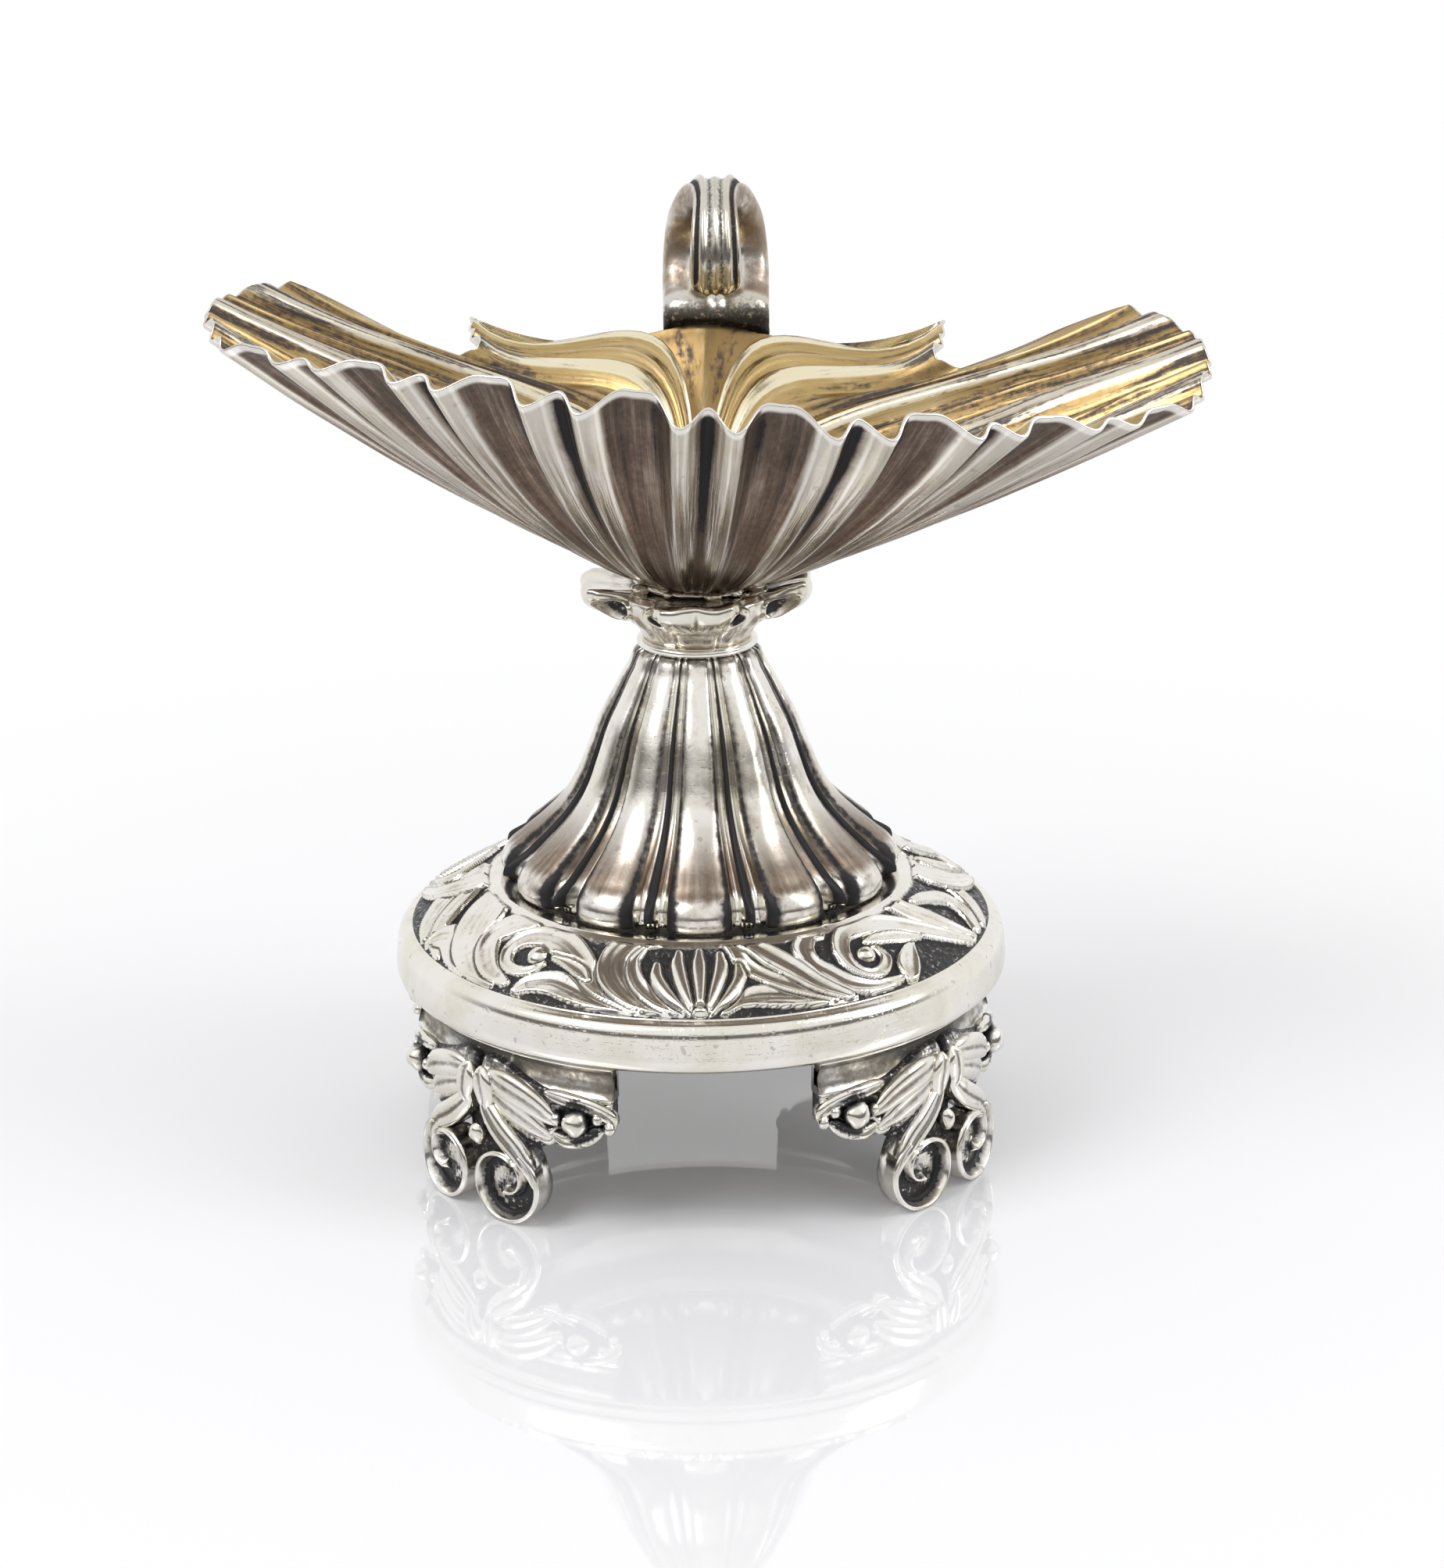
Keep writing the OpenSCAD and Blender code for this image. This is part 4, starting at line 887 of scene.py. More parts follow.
# The chased forms, round half the border: kind, then rows of degrees off the front, share of the way from
# the crease to the band, and half width as a share of that way. A leaf is hollow between thin raised
# edges, a finger is round, and a bead is a ball. Later forms lie over earlier ones.
FORMS = [
    ("leaf", (-94, 0.08, 0.1), (-91.5, 0.24, 0.17), (-87, 0.5, 0.18), (-79.6, 0.77, 0.11),
     (-73, 0.93, 0.05)),
    ("leaf", (-82, 0.22, 0.08), (-79.5, 0.4, 0.12), (-76, 0.6, 0.11), (-70, 0.84, 0.07), (-64, 0.95, 0.04)),
    ("leaf", (-70, 0.93, 0.05), (-69, 0.78, 0.13), (-65, 0.7, 0.17), (-60, 0.82, 0.13), (-54, 0.95, 0.06)),
    ("leaf", (-71.5, 0.03, 0.05), (-69, 0.14, 0.18), (-66, 0.28, 0.27), (-62.8, 0.48, 0.24),
     (-57.8, 0.68, 0.2), (-51.6, 0.85, 0.12), (-45, 0.94, 0.05)),
    ("leaf", (-45.5, 0.16, 0.03), (-49, 0.15, 0.1), (-53, 0.25, 0.15), (-55, 0.42, 0.13),
     (-53.4, 0.6, 0.13), (-48, 0.79, 0.1), (-42, 0.88, 0.05)),
    ("leaf", (-38.4, 0.95, 0.04), (-36.3, 0.82, 0.1), (-31.8, 0.74, 0.14), (-27, 0.78, 0.14),
     (-21.8, 0.87, 0.09), (-13.5, 0.95, 0.04)),
    ("leaf", (-10, 0.94, 0.05), (-15, 0.83, 0.08), (-20.5, 0.7, 0.11), (-25.2, 0.53, 0.12),
     (-29.1, 0.38, 0.14), (-35.2, 0.25, 0.16), (-41.5, 0.24, 0.13), (-46, 0.33, 0.1), (-47.4, 0.5, 0.08),
     (-45.6, 0.65, 0.07), (-42, 0.71, 0.06), (-38.4, 0.66, 0.05), (-37, 0.54, 0.04)),
    ("leaf", (-24.6, 0.62, 0.03), (-27, 0.54, 0.07), (-31, 0.47, 0.06), (-35, 0.44, 0.03)),
    ("bead", (-39.8, 0.46, 0.11)),
    ("leaf", (-11, 0.09, 0.04), (-15, 0.1, 0.09), (-18.2, 0.2, 0.17), (-19.2, 0.36, 0.2),
     (-17.6, 0.54, 0.21), (-12.8, 0.76, 0.15), (-6.5, 0.93, 0.07)),
    ("leaf", (-14, 0.16, 0.03), (-15.5, 0.34, 0.06), (-13.4, 0.58, 0.08), (-8.6, 0.8, 0.08),
     (-3.5, 0.94, 0.04)),
    ("leaf", (97, 0.06, 0.1), (94, 0.26, 0.17), (90.2, 0.48, 0.14), (85.4, 0.74, 0.09), (79, 0.93, 0.05)),
    ("leaf", (69, 0.22, 0.05), (74, 0.3, 0.08), (79.5, 0.48, 0.1), (79, 0.7, 0.09), (75, 0.9, 0.05)),
    ("leaf", (59, 0.04, 0.05), (60.8, 0.12, 0.11), (62.4, 0.26, 0.13), (65.8, 0.51, 0.14),
     (70.4, 0.9, 0.07)),
    ("leaf", (53.4, 0.58, 0.03), (50.5, 0.66, 0.08), (47.6, 0.78, 0.12), (45.4, 0.93, 0.07)),
    ("leaf", (32, 0.15, 0.04), (28.8, 0.13, 0.08), (25.6, 0.26, 0.11), (25.9, 0.45, 0.1),
     (28.6, 0.62, 0.1), (31.8, 0.8, 0.1), (36.7, 0.9, 0.07), (43, 0.9, 0.04)),
    ("leaf", (4.6, 0.95, 0.03), (7.6, 0.82, 0.07), (11, 0.77, 0.12), (15, 0.78, 0.14), (20, 0.83, 0.12),
     (25, 0.9, 0.07), (31, 0.96, 0.03)),
    ("leaf", (6, 0.04, 0.04), (8.6, 0.17, 0.08), (10.4, 0.36, 0.09), (14, 0.52, 0.08), (20, 0.7, 0.08),
     (27, 0.9, 0.05)),
    ("leaf", (9.4, 0.06, 0.04), (13.6, 0.15, 0.1), (17.6, 0.32, 0.13), (21.2, 0.49, 0.12),
     (25, 0.72, 0.09), (30, 0.93, 0.05)),
    ("leaf", (43.4, 0.45, 0.03), (43.9, 0.6, 0.05), (41.8, 0.71, 0.06), (39, 0.75, 0.06),
     (36.2, 0.7, 0.06), (34.5, 0.56, 0.07), (34.8, 0.37, 0.08), (38, 0.21, 0.09), (43.7, 0.18, 0.11),
     (49.5, 0.22, 0.12), (55, 0.34, 0.11), (60, 0.52, 0.1), (64.5, 0.72, 0.08), (68.6, 0.92, 0.05)),
    ("leaf", (57, 0.56, 0.03), (52, 0.45, 0.07), (46.5, 0.38, 0.06), (42.5, 0.36, 0.03)),
    ("bead", (40.2, 0.5, 0.1)),
    ("finger", (-9.9, 0.36, 0.05), (-9.4, 0.52, 0.08), (-6, 0.75, 0.07), (-1.6, 0.94, 0.04)),
    ("finger", (8.8, 0.38, 0.05), (8.6, 0.54, 0.08), (5.6, 0.76, 0.07), (1.8, 0.94, 0.04)),
    ("finger", (-5.2, 0.2, 0.05), (-5, 0.38, 0.08), (-3, 0.7, 0.07), (-0.8, 0.94, 0.04)),
    ("finger", (4.8, 0.22, 0.05), (4.8, 0.4, 0.08), (2.9, 0.7, 0.07), (0.9, 0.94, 0.04)),
    ("finger", (-0.2, 0.18, 0.05), (-0.2, 0.36, 0.08), (0, 0.68, 0.06), (0, 0.94, 0.04)),
    ("bead", (0, 0.93, 0.07))]
# Width of the border down its slope
BORDER_Q = math.hypot(BAND_TOP_R - CREASE_R, CREASE_Z - BAND_TOP_Z)


def chase(relief, azimuth, q, turn):
    """Raises the forms out of the ground. azimuth runs down the relief, and q, in mm, across it."""
    radius = mix(CREASE_R, BAND_TOP_R, q / BORDER_Q)
    for kind, *rows in FORMS:
        rows = np.array(rows, float)
        if len(rows) > 1:
            rows = curve_through(rows, 8 * len(rows))
        else:
            rows = np.concatenate([rows, rows + [0.01, 0, 0]])
        middle = rows[:, 0].mean()
        off = (azimuth - turn - middle + 180) % 360 - 180
        near = np.nonzero(np.abs(off) < np.ptp(rows[:, 0]) / 2 + 9)[0]
        x = np.radians(off[near])[:, None] * radius
        px = np.radians(rows[:, 0] - middle) * mix(CREASE_R, BAND_TOP_R, rows[:, 1])
        pq, half = rows[:, 1] * BORDER_Q, rows[:, 2] * BORDER_Q
        side, wide = np.full(x.shape, 9.0), np.full(x.shape, 1.0)
        for k in range(len(px) - 1):
            dx, dq = px[k + 1] - px[k], pq[k + 1] - pq[k]
            s = np.clip(((x - px[k]) * dx + (q - pq[k]) * dq) / max(dx * dx + dq * dq, 1e-9), 0, 1)
            reach = mix(half[k], half[k + 1], s)
            share = np.hypot(x - px[k] - s * dx, q - pq[k] - s * dq) / reach
            wide = np.where(share < side, reach, wide)
            side = np.minimum(side, share)
        if kind == "leaf":
            form = 0.55 + 0.45 * np.clip(side, 0, 1) ** 2 + 0.03 * np.cos(side * wide * 7)
        else:
            form = (1.15 if kind == "bead" else 1) * np.sqrt(np.clip(1 - side ** 2, 0.09, 1))
        # What lies under a form is cut back round it, so that its edge stands clear
        over = ease((wide * (1 - side) + 0.14) / 0.24)
        cut = 1 - 0.75 * ease(1 - (side - 1) * wide / 0.45)
        relief[near] = mix(relief[near] * cut, form, over)
    return relief


def make_border(item):
    """The chased ring, with its forms above and a plain hollow side below."""
    azimuth = np.linspace(-180, 180, item.border_steps, endpoint=False)
    q = np.linspace(0.12, BORDER_Q - 0.05, 64)
    relief = np.zeros((len(azimuth), len(q)))
    for turn in (0, 180):
        relief = chase(relief, azimuth, q, turn)
    azimuth = azimuth[:, None]
    flat = polar(azimuth, CREASE_R + q, 0)
    ground = 0.12 * bumps(flat.reshape(-1, 3), 1.0, 21).reshape(relief.shape)
    # Ground and the moat round each form are marked black: black tarnish, and painted shade round the forms
    ground_and_shade_mask = 1 - ease((relief - 0.12) / 0.3)
    ledge = ease((q - 0.7) / 0.7)
    edge = ledge * ease((BORDER_Q - 0.1 - q) / 0.5)
    relief = (relief + ground * (relief < 0.3)) * edge * item.relief
    slope = np.array([BAND_TOP_R - CREASE_R, BAND_TOP_Z - CREASE_Z]) / BORDER_Q
    face = polar(azimuth, CREASE_R + q * slope[0] - relief * slope[1],
                 CREASE_Z + q * slope[1] + relief * slope[0])
    under = [(BAND_TOP_R - 1.2, BAND_TOP_Z - 0.1), (mix(CREASE_R, BAND_TOP_R, 0.5), 26.4),
             (CREASE_R, CREASE_Z - 1), (CREASE_R - 4, CREASE_Z - 0.9)]
    sill = [(CREASE_R - 4, CREASE_Z - 0.05), (CREASE_R - 0.1, CREASE_Z - 0.05)]
    first = [polar(azimuth, r, z) for r, z in under + sill]
    last = [polar(azimuth, BAND_TOP_R - 0.05, BAND_TOP_Z + 0.02)]
    net = np.concatenate(first + [face] + last, 1)
    line = np.zeros(net.shape)
    line[:, len(first):-1, 2] = ground_and_shade_mask * ledge
    shell = Shell()
    shell.add_net(net, ring=True, line=line)
    finish = silver("chased_border_silver", brown=0.5, black_at=(0.53, 0.74), scratch=0.1, ground=True)
    piece("leaf_border", shell, [finish], ["foliate_border"], 0.75, 26)


# Feet

# Down the bracket strip: distance from the axis over the band's, and share of its height
COVE = [[0.92, 0], [0.997, 0], [0.975, 0.25], [0.962, 0.55], [0.967, 0.8], [0.98, 1], [0.92, 1]]
# Millimetres along a foot are measured at this distance from the axis
ARC_R = 33.0
COVE_HALF, LEAVES_HALF, BAND_GAP, TABLE_GAP = 17.4, 17.2, 0.02, 0.02
# Leaves of a foot: millimetres out from its middle, then the heights of their upper and lower edges
LEAF_EDGE = [[0, 15.2, 10.6], [0.4, 17.2, 12], [2, 17.6, 11.9], [4, 17.2, 11.3], [6, 16.4, 10.6],
             [8, 15.9, 9.6], [9.8, 15.7, 8.7], [11, 15.6, 10], [13, 15.6, 10.9], [15, 15.6, 11.3],
             [17, 15.5, 12.6]]
# Leaves and stems over one side of a foot: out, up, half width, and how far their face stands off the axis
FRONDS = [
    [[9, 15.1, 0.6, 32.2], [12, 14.8, 0.8, 32.4], [15, 14.3, 0.9, 32.3], [17, 13.4, 0.8, 32.2],
     [17.5, 12.2, 0.4, 32]],
    [[10, 10.6, 0.5, 32.2], [12, 10.2, 0.8, 32.5], [14.4, 10.9, 0.9, 32.4], [16.2, 12, 0.6, 32.1]],
    [[2, 12, 0.7, 32.2], [4.4, 11.2, 1.3, 32.6], [6.8, 9.9, 1.1, 32.5], [8.6, 8.7, 0.5, 32]],
    [[1.8, 13.8, 0.8, 32.4], [4.6, 13, 1.5, 32.9], [7.6, 11.6, 1.3, 32.7], [10, 10, 0.6, 32.2]],
    [[1.4, 15.6, 0.8, 32.6], [4.4, 15.1, 1.5, 33.1], [8, 13.9, 1.4, 33], [11.2, 12, 0.7, 32.6]],
    [[0.9, 16.4, 0.6, 33], [1.3, 14.8, 1.4, 33.3], [1.6, 12.8, 1.2, 33.2], [1, 11, 0.4, 32.8]]]
STEM = [[1, 13.2, 0.8, 32.8], [2, 11.6, 1.2, 33.1], [3.9, 9.9, 1.4, 33.4], [6.2, 8.3, 1.3, 33.6],
        [7.9, 6.3, 0.8, 33.6], [8.4, 4.2, 0.3, 33.4]]
WEB = [[0, 13, 2.6, 31.2], [0, 9, 3.4, 31.2], [0, 5, 2.6, 31.2], [0, 2.2, 1.2, 31.2]]
# Berries at one side of a foot: out, up, distance from the axis, size
BERRIES = [(13.3, 12.6, 32.4, 1.35), (11, 12.6, 32.2, 0.6), (17, 12.2, 31.8, 0.7), (15.7, 13.2, 32, 0.6)]
# The edge of a volute: turns from where the stem joins it, and distance from its middle over its radius
VOLUTE = [[0, 1], [0.4, 1], [0.7, 0.93], [0.92, 0.76], [1.1, 0.52], [1.3, 0.26], [1.45, 0.2]]
VOLUTE_X, VOLUTE_R = 4.9, 4.35
# The side of a volute from its back: share of its radius, and distance from the axis
VOLUTE_SIDE = [(0.5, VOLUTE_BACK_R), (0.9, VOLUTE_BACK_R), (1, VOLUTE_BACK_R + 0.4), (1, 32.0), (1, 33.2)]
# The grid on which a foot's depth is marked for its painted shade: millimetres a cell, and its reach to
# each side
DEPTH_CELL, DEPTH_REACH = 0.45, 22


def on_foot(azimuth, x, z, r):
    """A point of a foot: x millimetres along the arc off its middle, z over the table, r off the axis."""
    return polar(azimuth + np.degrees(x / ARC_R), r, z)


def add_cove(shell, azimuth):
    """The hollow bracket strip that joins a foot to the band."""
    x = np.linspace(-COVE_HALF, COVE_HALF, 130)[:, None]
    rows = curve_through(COVE, 40)
    height = BAND_LOW_Z - BAND_GAP - rows[:, 1] * (BRACKET_H - BAND_GAP)
    net = on_foot(azimuth, x, height, rows[:, 0] * BAND_LOW_R)
    line = np.zeros(net.shape)
    # The strip is mostly kept out of the painted shade of the foot
    line[..., 0] = 0.8
    shell.add_net(net.transpose(1, 0, 2), line=line.transpose(1, 0, 2))


def add_leaves(shell, azimuth, steps):
    """The broad leaves along the top of a foot, with a rolled upper edge and grooves below it."""
    x = np.linspace(-LEAVES_HALF, LEAVES_HALF, steps)
    off = np.abs(x)
    top, low = curve_at(LEAF_EDGE, off).T
    low = low + 0.55 * np.abs(np.sin(off * math.pi / 2.9)) * ease(off / 2) - 0.3
    v = np.linspace(0, 1, 56)[None, :]
    x, off = x[:, None], off[:, None]
    z = mix(low[:, None], top[:, None], v)
    roll = bell((v - 0.74) / 0.24) * (0.55 + 0.45 * ease(1 - off / 12))
    under = 0.75 * bell((v - 0.36 + 0.008 * off) / 0.10)
    groove = np.cos((off * 0.55 + v * 2.6) * 2 * math.pi / 2.6)
    form = np.maximum(np.maximum(roll, under), 0.6 * bell((v - 0.12) / 0.09))
    form = form + 0.12 * groove * ease((0.62 - v) / 0.3)
    form = form - 0.75 * bell(off / 0.5) - 0.14 * bell((v - 0.74) / 0.03) * ease((off - 1) / 2)
    r = 31.4 + 0.9 * form - 0.028 * np.clip(off - 6, 0, 20)
    r = mix(30.2, r, np.sqrt(ease(np.minimum(v, 1 - v) / 0.05 + 0.02)))
    loop = np.concatenate([points_of(x, z, r), points_of(x, z[:, ::-4], 29.4)], 1)
    net = on_foot(azimuth, loop[..., 0], loop[..., 1], loop[..., 2])
    shell.add_net(net.transpose(1, 0, 2))


def add_strip(shell, azimuth, side, rows, steps, fold, back):
    """A leaf or a stem along a path: rounded across, with a fold down its middle."""
    path = curve_through(rows, steps)
    run = np.gradient(path[:, :2], axis=0)
    run /= np.linalg.norm(run, axis=1, keepdims=True)
    across = np.stack([run[:, 1], -run[:, 0]], -1)
    tip = np.sqrt(np.clip(1 - np.linspace(-1, 1, steps) ** 8, 0.03, 1))
    front = 22
    places = np.concatenate([np.linspace(-1, 1, front), np.linspace(0.8, -0.8, 5)])
    net = np.zeros((steps, len(places), 3))
    for k, place in enumerate(places):
        form = 0.6 * math.sqrt(1.02 - place ** 2) - fold * bell(place / 0.3)
        face = path[:, 3] - 0.55 + form * np.minimum(path[:, 2], 1) * tip
        out, up = (path[:, :2] + across * (place * path[:, 2] * tip)[:, None]).T
        net[:, k] = on_foot(azimuth, side * out, np.maximum(up, TABLE_GAP), face if k < front else back)
    shell.add_net(net.transpose(1, 0, 2))


def add_volute(shell, azimuth, side, steps):
    """The head of a scroll: a deep dish with a thin edge that winds in from the rim."""
    angle = np.linspace(0, 2 * math.pi, steps, endpoint=False)
    turn = (math.radians(60) - angle) / (2 * math.pi) % 1
    edge = curve_at(VOLUTE, turn)[:, 0]
    rim = np.maximum(edge, ease((turn - 0.88) / 0.12))[:, None]
    inner = np.where(turn < 0.42, curve_at(VOLUTE, turn + 1)[:, 0], 9.0)[:, None]
    out = np.linspace(1, 0.02, 46)[None, :]
    place = rim * out
    off = np.minimum(np.abs(place - edge[:, None] + 0.06), np.abs(place - inner)) * VOLUTE_R
    dish = (1.0 + 0.5 * place) * (1 - bell(off / 0.42))
    face = VOLUTE_FACE_R - 0.15 - dish * ease((1 - out) / 0.05 + 0.35)
    place = np.concatenate([rim * share for share, _ in VOLUTE_SIDE] + [place], 1)
    height = np.concatenate([0 * rim + r for _, r in VOLUTE_SIDE] + [face], 1)
    x = VOLUTE_X + VOLUTE_R * place * np.cos(angle)[:, None]
    z = VOLUTE_R * (1 + place * np.sin(angle)[:, None])
    line = np.zeros((*x.shape, 3))
    # The sides of the volute are kept out of the painted shade of the foot
    line[:, :len(VOLUTE_SIDE), 0] = 1
    shell.add_net(on_foot(azimuth, side * x, np.maximum(z, TABLE_GAP), height), line=line)


def add_berries(shell, azimuth, side):
    """The berries at the end of the leaves, one large and three small."""
    for k, (x, z, r, size) in enumerate(BERRIES):
        shell.add_net(blob(on_foot(azimuth, side * x, z, r), np.array([1, 1, 1.1]) * size, 60 + k, 12))


def mark_recess_shade(shell, azimuth):
    """Marks painted shade, in the last part of the line, on the points that lie behind the front of the
    foot round them.

    The first part of the line says how much of a point belongs to a wall, which is kept out of that shade
    and stays bright.
    """
    points = np.concatenate(shell.points)
    turn = np.degrees(np.arctan2(points[:, 0], -points[:, 1])) - azimuth
    x = np.radians((turn + 180) % 360 - 180) * ARC_R
    r = np.hypot(points[:, 0], points[:, 1])
    i, j = ((x + DEPTH_REACH) / DEPTH_CELL).astype(int), (points[:, 2] / DEPTH_CELL).astype(int) + 3
    front = np.zeros((i.max() + 6, j.max() + 6))
    np.maximum.at(front, (i, j), r)
    for _ in range(3):
        beside = [np.roll(front, way, axis) for way in (-1, 1) for axis in (0, 1)]
        front = np.maximum.reduce([front] + beside)
    wall = np.concatenate(shell.lines)[:, 0]
    # Painted shade: darker the further a point lies behind the front of the foot round it
    deep = ease((front[i, j] - r - 0.45) / 0.9) * (1 - wall)
    ends = np.cumsum([len(line) for line in shell.lines])[:-1]
    for line, share in zip(shell.lines, np.split(deep, ends)):
        line[:, 2] = share


def make_feet(item):
    """Four feet, all of one pattern, under the band."""
    finish = silver("cast_silver_feet", brown=0.6, black_at=(0.44, 0.64), scratch=0.2, ground=True)
    for name, angle in (("front_left", -FOOT_ANGLE), ("front_right", FOOT_ANGLE),
                        ("back_left", 180 + FOOT_ANGLE), ("back_right", 180 - FOOT_ANGLE)):
        azimuth = angle + FEET_TURN
        shell = Shell()
        add_cove(shell, azimuth)
        add_leaves(shell, azimuth, item.leaf_steps)
        add_strip(shell, azimuth, 1, WEB, item.scroll_steps, 0, 29.6)
        for side in (-1, 1):
            for rows in FRONDS:
                add_strip(shell, azimuth, side, rows, item.scroll_steps, 0.2, 30.6)
            add_strip(shell, azimuth, side, STEM, item.scroll_steps, 0.25, 30.4)
            add_volute(shell, azimuth, side, 2 * item.scroll_steps)
            add_berries(shell, azimuth, side)
        shell.add_net(blob(on_foot(azimuth, 0, 8.4, 32.4), np.array([1.0, 1.0, 1.2]), 80, 14))
        mark_recess_shade(shell, azimuth)
        piece("scroll_foot_" + name, shell, [finish], ["foot_" + name], 0.5, 16)


# Stage

# The camera as fitted to the photo: place in metres, tilts in degrees, then the focal length and the height
# of the picture in pixels, and the height of the sensor in millimetres
CAMERA_PLACE, CAMERA_PITCH, CAMERA_ROLL = (0.00249, -0.4319, 0.1857), 18.69, -0.61
FOCAL_PX, PHOTO_PX, SENSOR = 5387, 2007, 36
FLOOR_REACH = 3.0
WHITE, LIT_ROOM, DARK_ROOM = (1.0, 1.0, 1.0), (0.95, 0.95, 0.95), (0.16, 0.15, 0.145)
TABLE_TOP = (0.84, 0.84, 0.865)
LAMP_TARGET = (0, 0, 0.05)
# Lamps: place and size in metres, and power as a share of the main lamp's
LAMPS = {"top_left_lamp": ((-0.5, -0.35, 0.75), (0.5, 0.5), 1.0),
         "right_lamp": ((0.6, -0.15, 0.5), (0.3, 0.6), 0.5)}


def add_lamp(name, place, size, power):
    """An area lamp that looks at the salt cellar."""
    lamp = bpy.data.lights.new(name, "AREA")
    lamp.shape, lamp.size, lamp.size_y, lamp.energy = "RECTANGLE", size[0], size[1], power
    item = bpy.data.objects.new(name, lamp)
    bpy.context.scene.collection.objects.link(item)
    item.location = place
    item.rotation_euler = (Vector(LAMP_TARGET) - Vector(place)).to_track_quat("-Z", "Y").to_euler()


def seen_directly(bench):
    """1 for rays from the camera, from a polished surface or through glass, 0 for scattered light."""
    path = bench.make("ShaderNodeLightPath").socket.node
    camera, glossy, through = [Wire(bench, path.outputs["Is %s Ray" % kind])
                               for kind in ("Camera", "Glossy", "Transmission")]
    return camera.math("MAXIMUM", glossy).math("MAXIMUM", through)


def make_sky(scene, strength):
    """A white room that is dark low behind the camera, and that scattered light sees a little dimmer."""
    world = bpy.data.worlds.new("studio")
    scene.world = world
    world.use_nodes = True
    bench = Bench(world.node_tree)
    aside, ahead, up = bench.split(bench.make("ShaderNodeTexCoord"))
    behind = (ahead * -1 + aside.math("ABSOLUTE") * 0.25).step(-0.1, 0.55) * (1 - up.step(0.24, 0.42))
    skies = [bench.make("ShaderNodeBackground", sockets={"Color": bench.blend(behind, light, DARK_ROOM),
                                                         "Strength": power})
             for light, power in ((LIT_ROOM, strength), (WHITE, 1.0))]
    both = bench.make("ShaderNodeMixShader", sockets={0: seen_directly(bench), 1: skies[0], 2: skies[1]})
    bench.make("ShaderNodeOutputWorld", sockets={"Surface": both})


def make_floor(scene):
    """A glossy white table top that fades into the white backdrop away from the salt cellar."""
    mesh = bpy.data.meshes.new("floor")
    signs = ((-1, -1), (1, -1), (1, 1), (-1, 1))
    mesh.from_pydata([(x * FLOOR_REACH, y * FLOOR_REACH, 0) for x, y in signs], [], [(0, 1, 2, 3)])
    floor = bpy.data.objects.new("floor", mesh)
    scene.collection.objects.link(floor)
    material = bpy.data.materials.new("white_floor")
    material.use_nodes = True
    bench = Bench(material.node_tree)
    place = bench.make("ShaderNodeTexCoord", out=3)
    distance = bench.make("ShaderNodeVectorMath", {"operation": "LENGTH"}, {0: place}, 1)
    far = (distance.step(0.04, 0.2) * 0.92 + 0.08) * seen_directly(bench)
    gloss = bench.make("ShaderNodeBsdfPrincipled",
                       sockets={"Base Color": (*TABLE_TOP, 1), "Roughness": 0.03, "IOR": 1.9})
    glow = bench.make("ShaderNodeEmission", sockets={"Color": (*WHITE, 1), "Strength": 1.0})
    both = bench.make("ShaderNodeMixShader", sockets={0: far, 1: gloss, 2: glow})
    bench.make("ShaderNodeOutputMaterial", sockets={"Surface": both})
    mesh.materials.append(material)


def make_camera(scene):
    """The camera, as fitted to the photo."""
    lens = bpy.data.cameras.new("camera")
    camera = bpy.data.objects.new("camera", lens)
    scene.collection.objects.link(camera)
    lens.sensor_fit, lens.sensor_height, lens.sensor_width = "VERTICAL", SENSOR, SENSOR
    lens.lens = FOCAL_PX / PHOTO_PX * SENSOR
    pitch, roll = math.radians(CAMERA_PITCH), math.radians(CAMERA_ROLL)
    ahead = Vector((0, math.cos(pitch), -math.sin(pitch)))
    right, over = Vector((1, 0, 0)), Vector((0, math.sin(pitch), math.cos(pitch)))
    x_axis = right * math.cos(roll) + over * math.sin(roll)
    y_axis = over * math.cos(roll) - right * math.sin(roll)
    camera.rotation_euler = Matrix((x_axis, y_axis, -ahead)).transposed().to_euler()
    camera.location = CAMERA_PLACE
    scene.camera = camera


def make_stage(item):
    """Light, table top and camera."""
    scene = bpy.context.scene
    scene.view_settings.view_transform = "Standard"
    make_sky(scene, item.room_light)
    make_floor(scene)
    for name, (place, size, share) in LAMPS.items():
        add_lamp(name, place, size, item.lamp_power * share)
    make_camera(scene)


# Settings, operators and panel


def int_setting(name, description, default, low, high):
    return IntProperty(name=name, description=description, default=default, min=low, max=high)


def float_setting(name, description, default, low, high, unit="NONE"):
    return FloatProperty(name=name, description=description, default=default, min=low, max=high, unit=unit)


class BowlSettings(bpy.types.PropertyGroup):
    flute_steps: int_setting("Flute Steps", "Lines of points across one period of the flutes", 40, 8, 80)
    wall_rows: int_setting("Wall Rows", "Rows of points up the wall", 46, 12, 90)


class HandleSettings(bpy.types.PropertyGroup):
    scroll_steps: int_setting("Scroll Steps", "Sections along the scroll", 130, 20, 300)


class CollarSettings(bpy.types.PropertyGroup):
    leaf_steps: int_setting("Leaf Steps", "Lines of points round one leaf", 160, 20, 240)


class PedestalSettings(bpy.types.PropertyGroup):
    lobe_steps: int_setting("Lobe Steps", "Lines of points across one lobe", 40, 8, 60)
    lobe_depth: float_setting("Lobe Depth", "Depth of the valleys over their usual depth", 1.0, 0.5, 1.5)


class BorderSettings(bpy.types.PropertyGroup):
    border_steps: int_setting("Border Steps", "Lines of points round the border", 1280, 200, 1400)
    relief: float_setting("Relief", "Height of the chased leaves, in millimetres", 0.75, 0.2, 1.2)


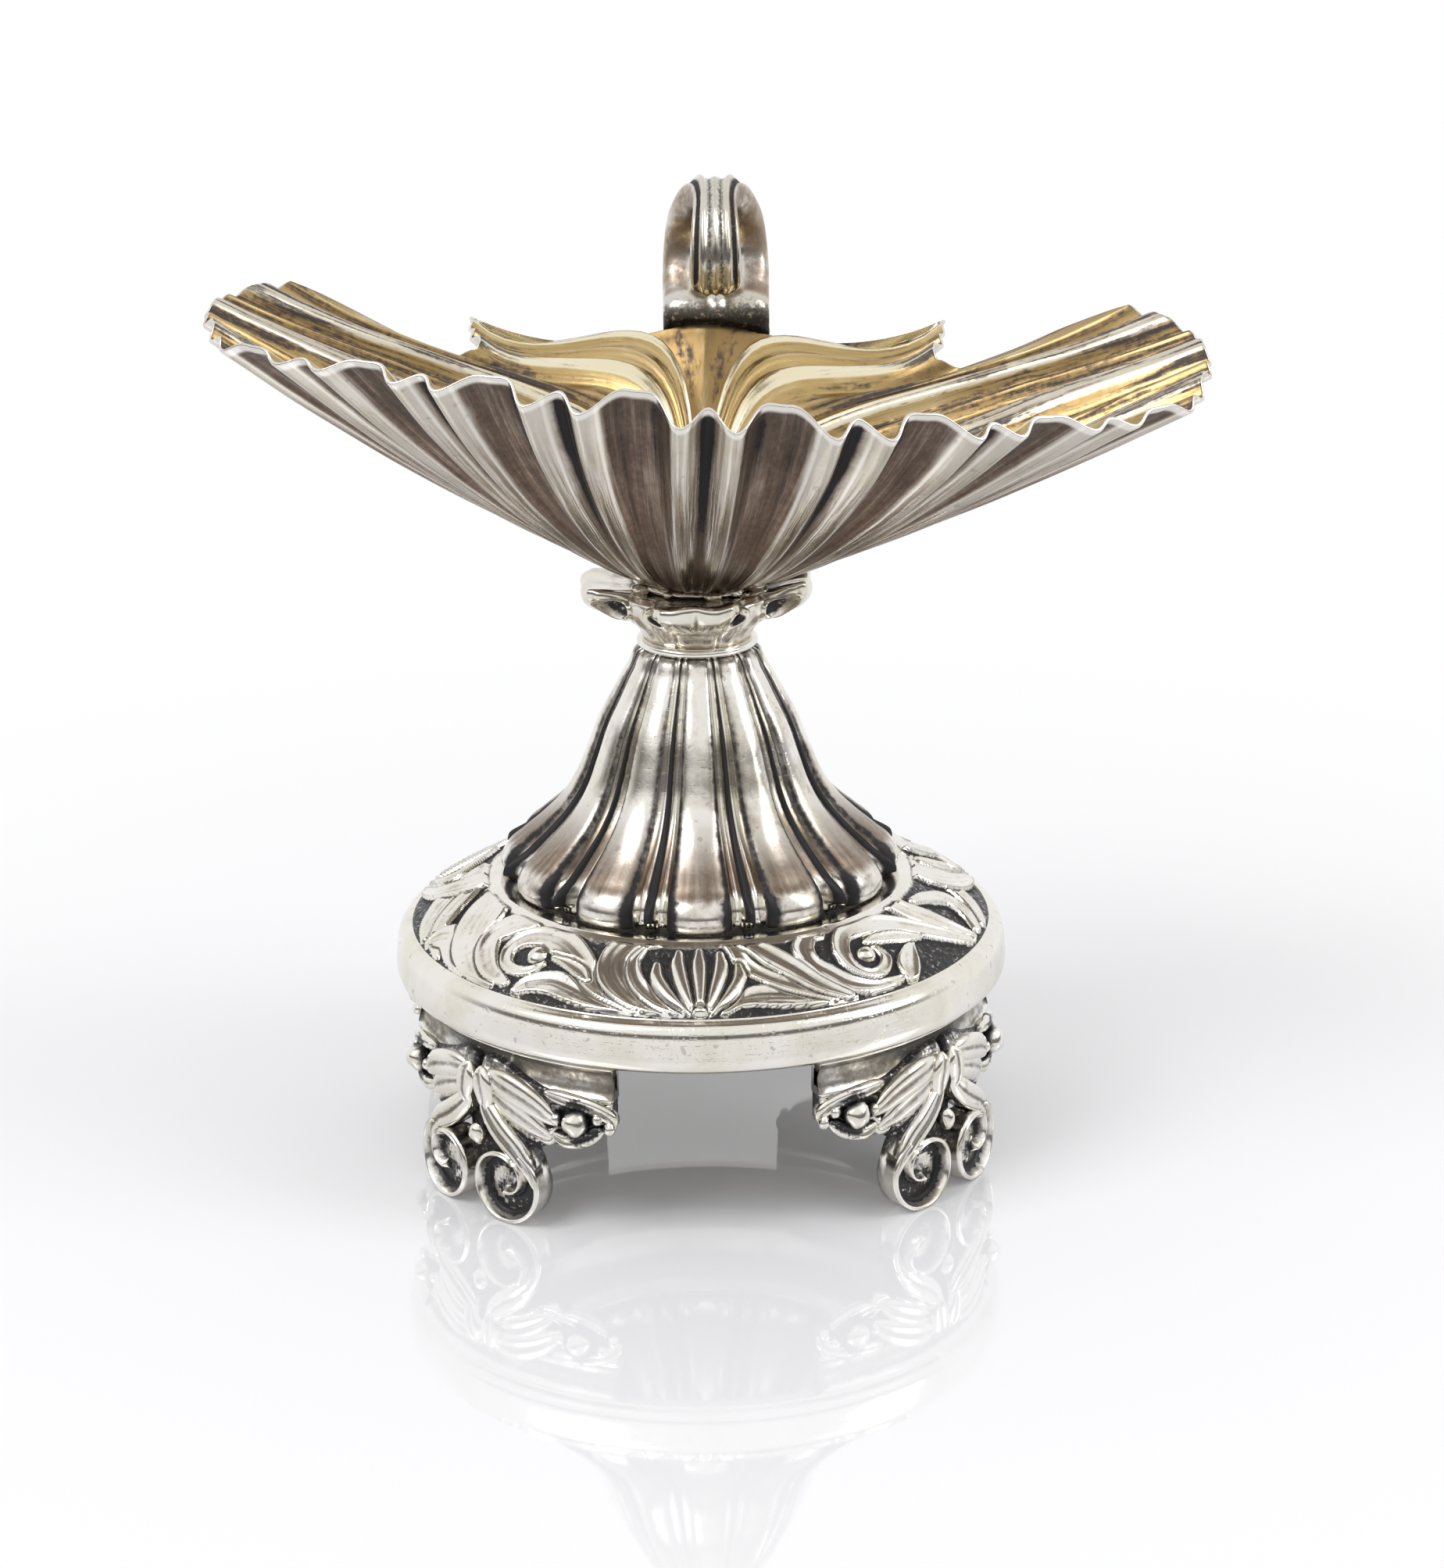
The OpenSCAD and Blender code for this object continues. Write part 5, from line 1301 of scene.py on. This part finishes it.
class FootSettings(bpy.types.PropertyGroup):
    leaf_steps: int_setting("Leaf Steps", "Lines of points along the leaves", 260, 60, 400)
    scroll_steps: int_setting("Scroll Steps", "Sections along a scroll or a leaf", 60, 20, 160)


class StageSettings(bpy.types.PropertyGroup):
    room_light: float_setting("Room Light", "Strength of the light from all round", 0.75, 0.0, 2.0)
    lamp_power: float_setting("Lamp Power", "Power of the main lamp", 4.0, 0.0, 50.0, "POWER")


class Builder:
    """What the operators share: each builds its pieces from the settings in the scene."""

    def execute(self, context):
        self.build(context.scene)
        return {"FINISHED"}


class SALTCELLAR_OT_bowl(Builder, bpy.types.Operator):
    """Build the fluted shell bowl"""
    bl_idname, bl_label = "saltcellar.bowl", "Shell Bowl"

    def build(self, scene):
        make_bowl(scene.cellar_bowl)


class SALTCELLAR_OT_handle(Builder, bpy.types.Operator):
    """Build the two halves of the scroll handle"""
    bl_idname, bl_label = "saltcellar.handle", "Scroll Handle"

    def build(self, scene):
        make_handle(scene.cellar_handle)


class SALTCELLAR_OT_collar(Builder, bpy.types.Operator):
    """Build the leaf collar and the solder over it"""
    bl_idname, bl_label = "saltcellar.collar", "Leaf Collar and Solder"

    def build(self, scene):
        make_solder()
        make_collar(scene.cellar_collar)


class SALTCELLAR_OT_pedestal(Builder, bpy.types.Operator):
    """Build the lobed pedestal"""
    bl_idname, bl_label = "saltcellar.pedestal", "Lobed Pedestal"

    def build(self, scene):
        make_pedestal(scene.cellar_pedestal)


class SALTCELLAR_OT_rings(Builder, bpy.types.Operator):
    """Build the bead of the neck and the plain band of the base"""
    bl_idname, bl_label = "saltcellar.rings", "Neck Bead and Band"

    def build(self, scene):
        make_rings()


class SALTCELLAR_OT_border(Builder, bpy.types.Operator):
    """Build the chased leaf border"""
    bl_idname, bl_label = "saltcellar.border", "Leaf Border"

    def build(self, scene):
        make_border(scene.cellar_border)


class SALTCELLAR_OT_feet(Builder, bpy.types.Operator):
    """Build the four scroll feet"""
    bl_idname, bl_label = "saltcellar.feet", "Scroll Feet"

    def build(self, scene):
        make_feet(scene.cellar_feet)


class SALTCELLAR_OT_stage(Builder, bpy.types.Operator):
    """Set up the floor, the light and the camera"""
    bl_idname, bl_label = "saltcellar.stage", "Stage"

    def build(self, scene):
        make_stage(scene.cellar_stage)


GROUPS = {"cellar_bowl": BowlSettings, "cellar_handle": HandleSettings, "cellar_collar": CollarSettings,
          "cellar_pedestal": PedestalSettings, "cellar_border": BorderSettings, "cellar_feet": FootSettings,
          "cellar_stage": StageSettings}
OPERATORS = (SALTCELLAR_OT_bowl, SALTCELLAR_OT_handle, SALTCELLAR_OT_collar, SALTCELLAR_OT_pedestal,
             SALTCELLAR_OT_rings, SALTCELLAR_OT_border, SALTCELLAR_OT_feet, SALTCELLAR_OT_stage)


class SALTCELLAR_PT_panel(bpy.types.Panel):
    """Sizes and steps of the salt cellar"""
    bl_idname, bl_label = "SALTCELLAR_PT_panel", "Salt Cellar"
    bl_space_type, bl_region_type, bl_category = "VIEW_3D", "UI", "Salt Cellar"

    def draw(self, context):
        for key, group in GROUPS.items():
            box = self.layout.box()
            for name in group.__annotations__:
                box.prop(getattr(context.scene, key), name)
        for operator in OPERATORS:
            self.layout.operator(operator.bl_idname)


CLASSES = (*GROUPS.values(), *OPERATORS, SALTCELLAR_PT_panel)


def register():
    for item in CLASSES:
        bpy.utils.register_class(item)
    for key, group in GROUPS.items():
        setattr(bpy.types.Scene, key, PointerProperty(type=group))


def unregister():
    for key in GROUPS:
        delattr(bpy.types.Scene, key)
    for item in reversed(CLASSES):
        bpy.utils.unregister_class(item)


def main():
    register()
    for name in ("bowl", "handle", "collar", "pedestal", "rings", "border", "feet", "stage"):
        getattr(bpy.ops.saltcellar, name)()
    bpy.context.view_layer.update()


if __name__ == "__main__":
    main()
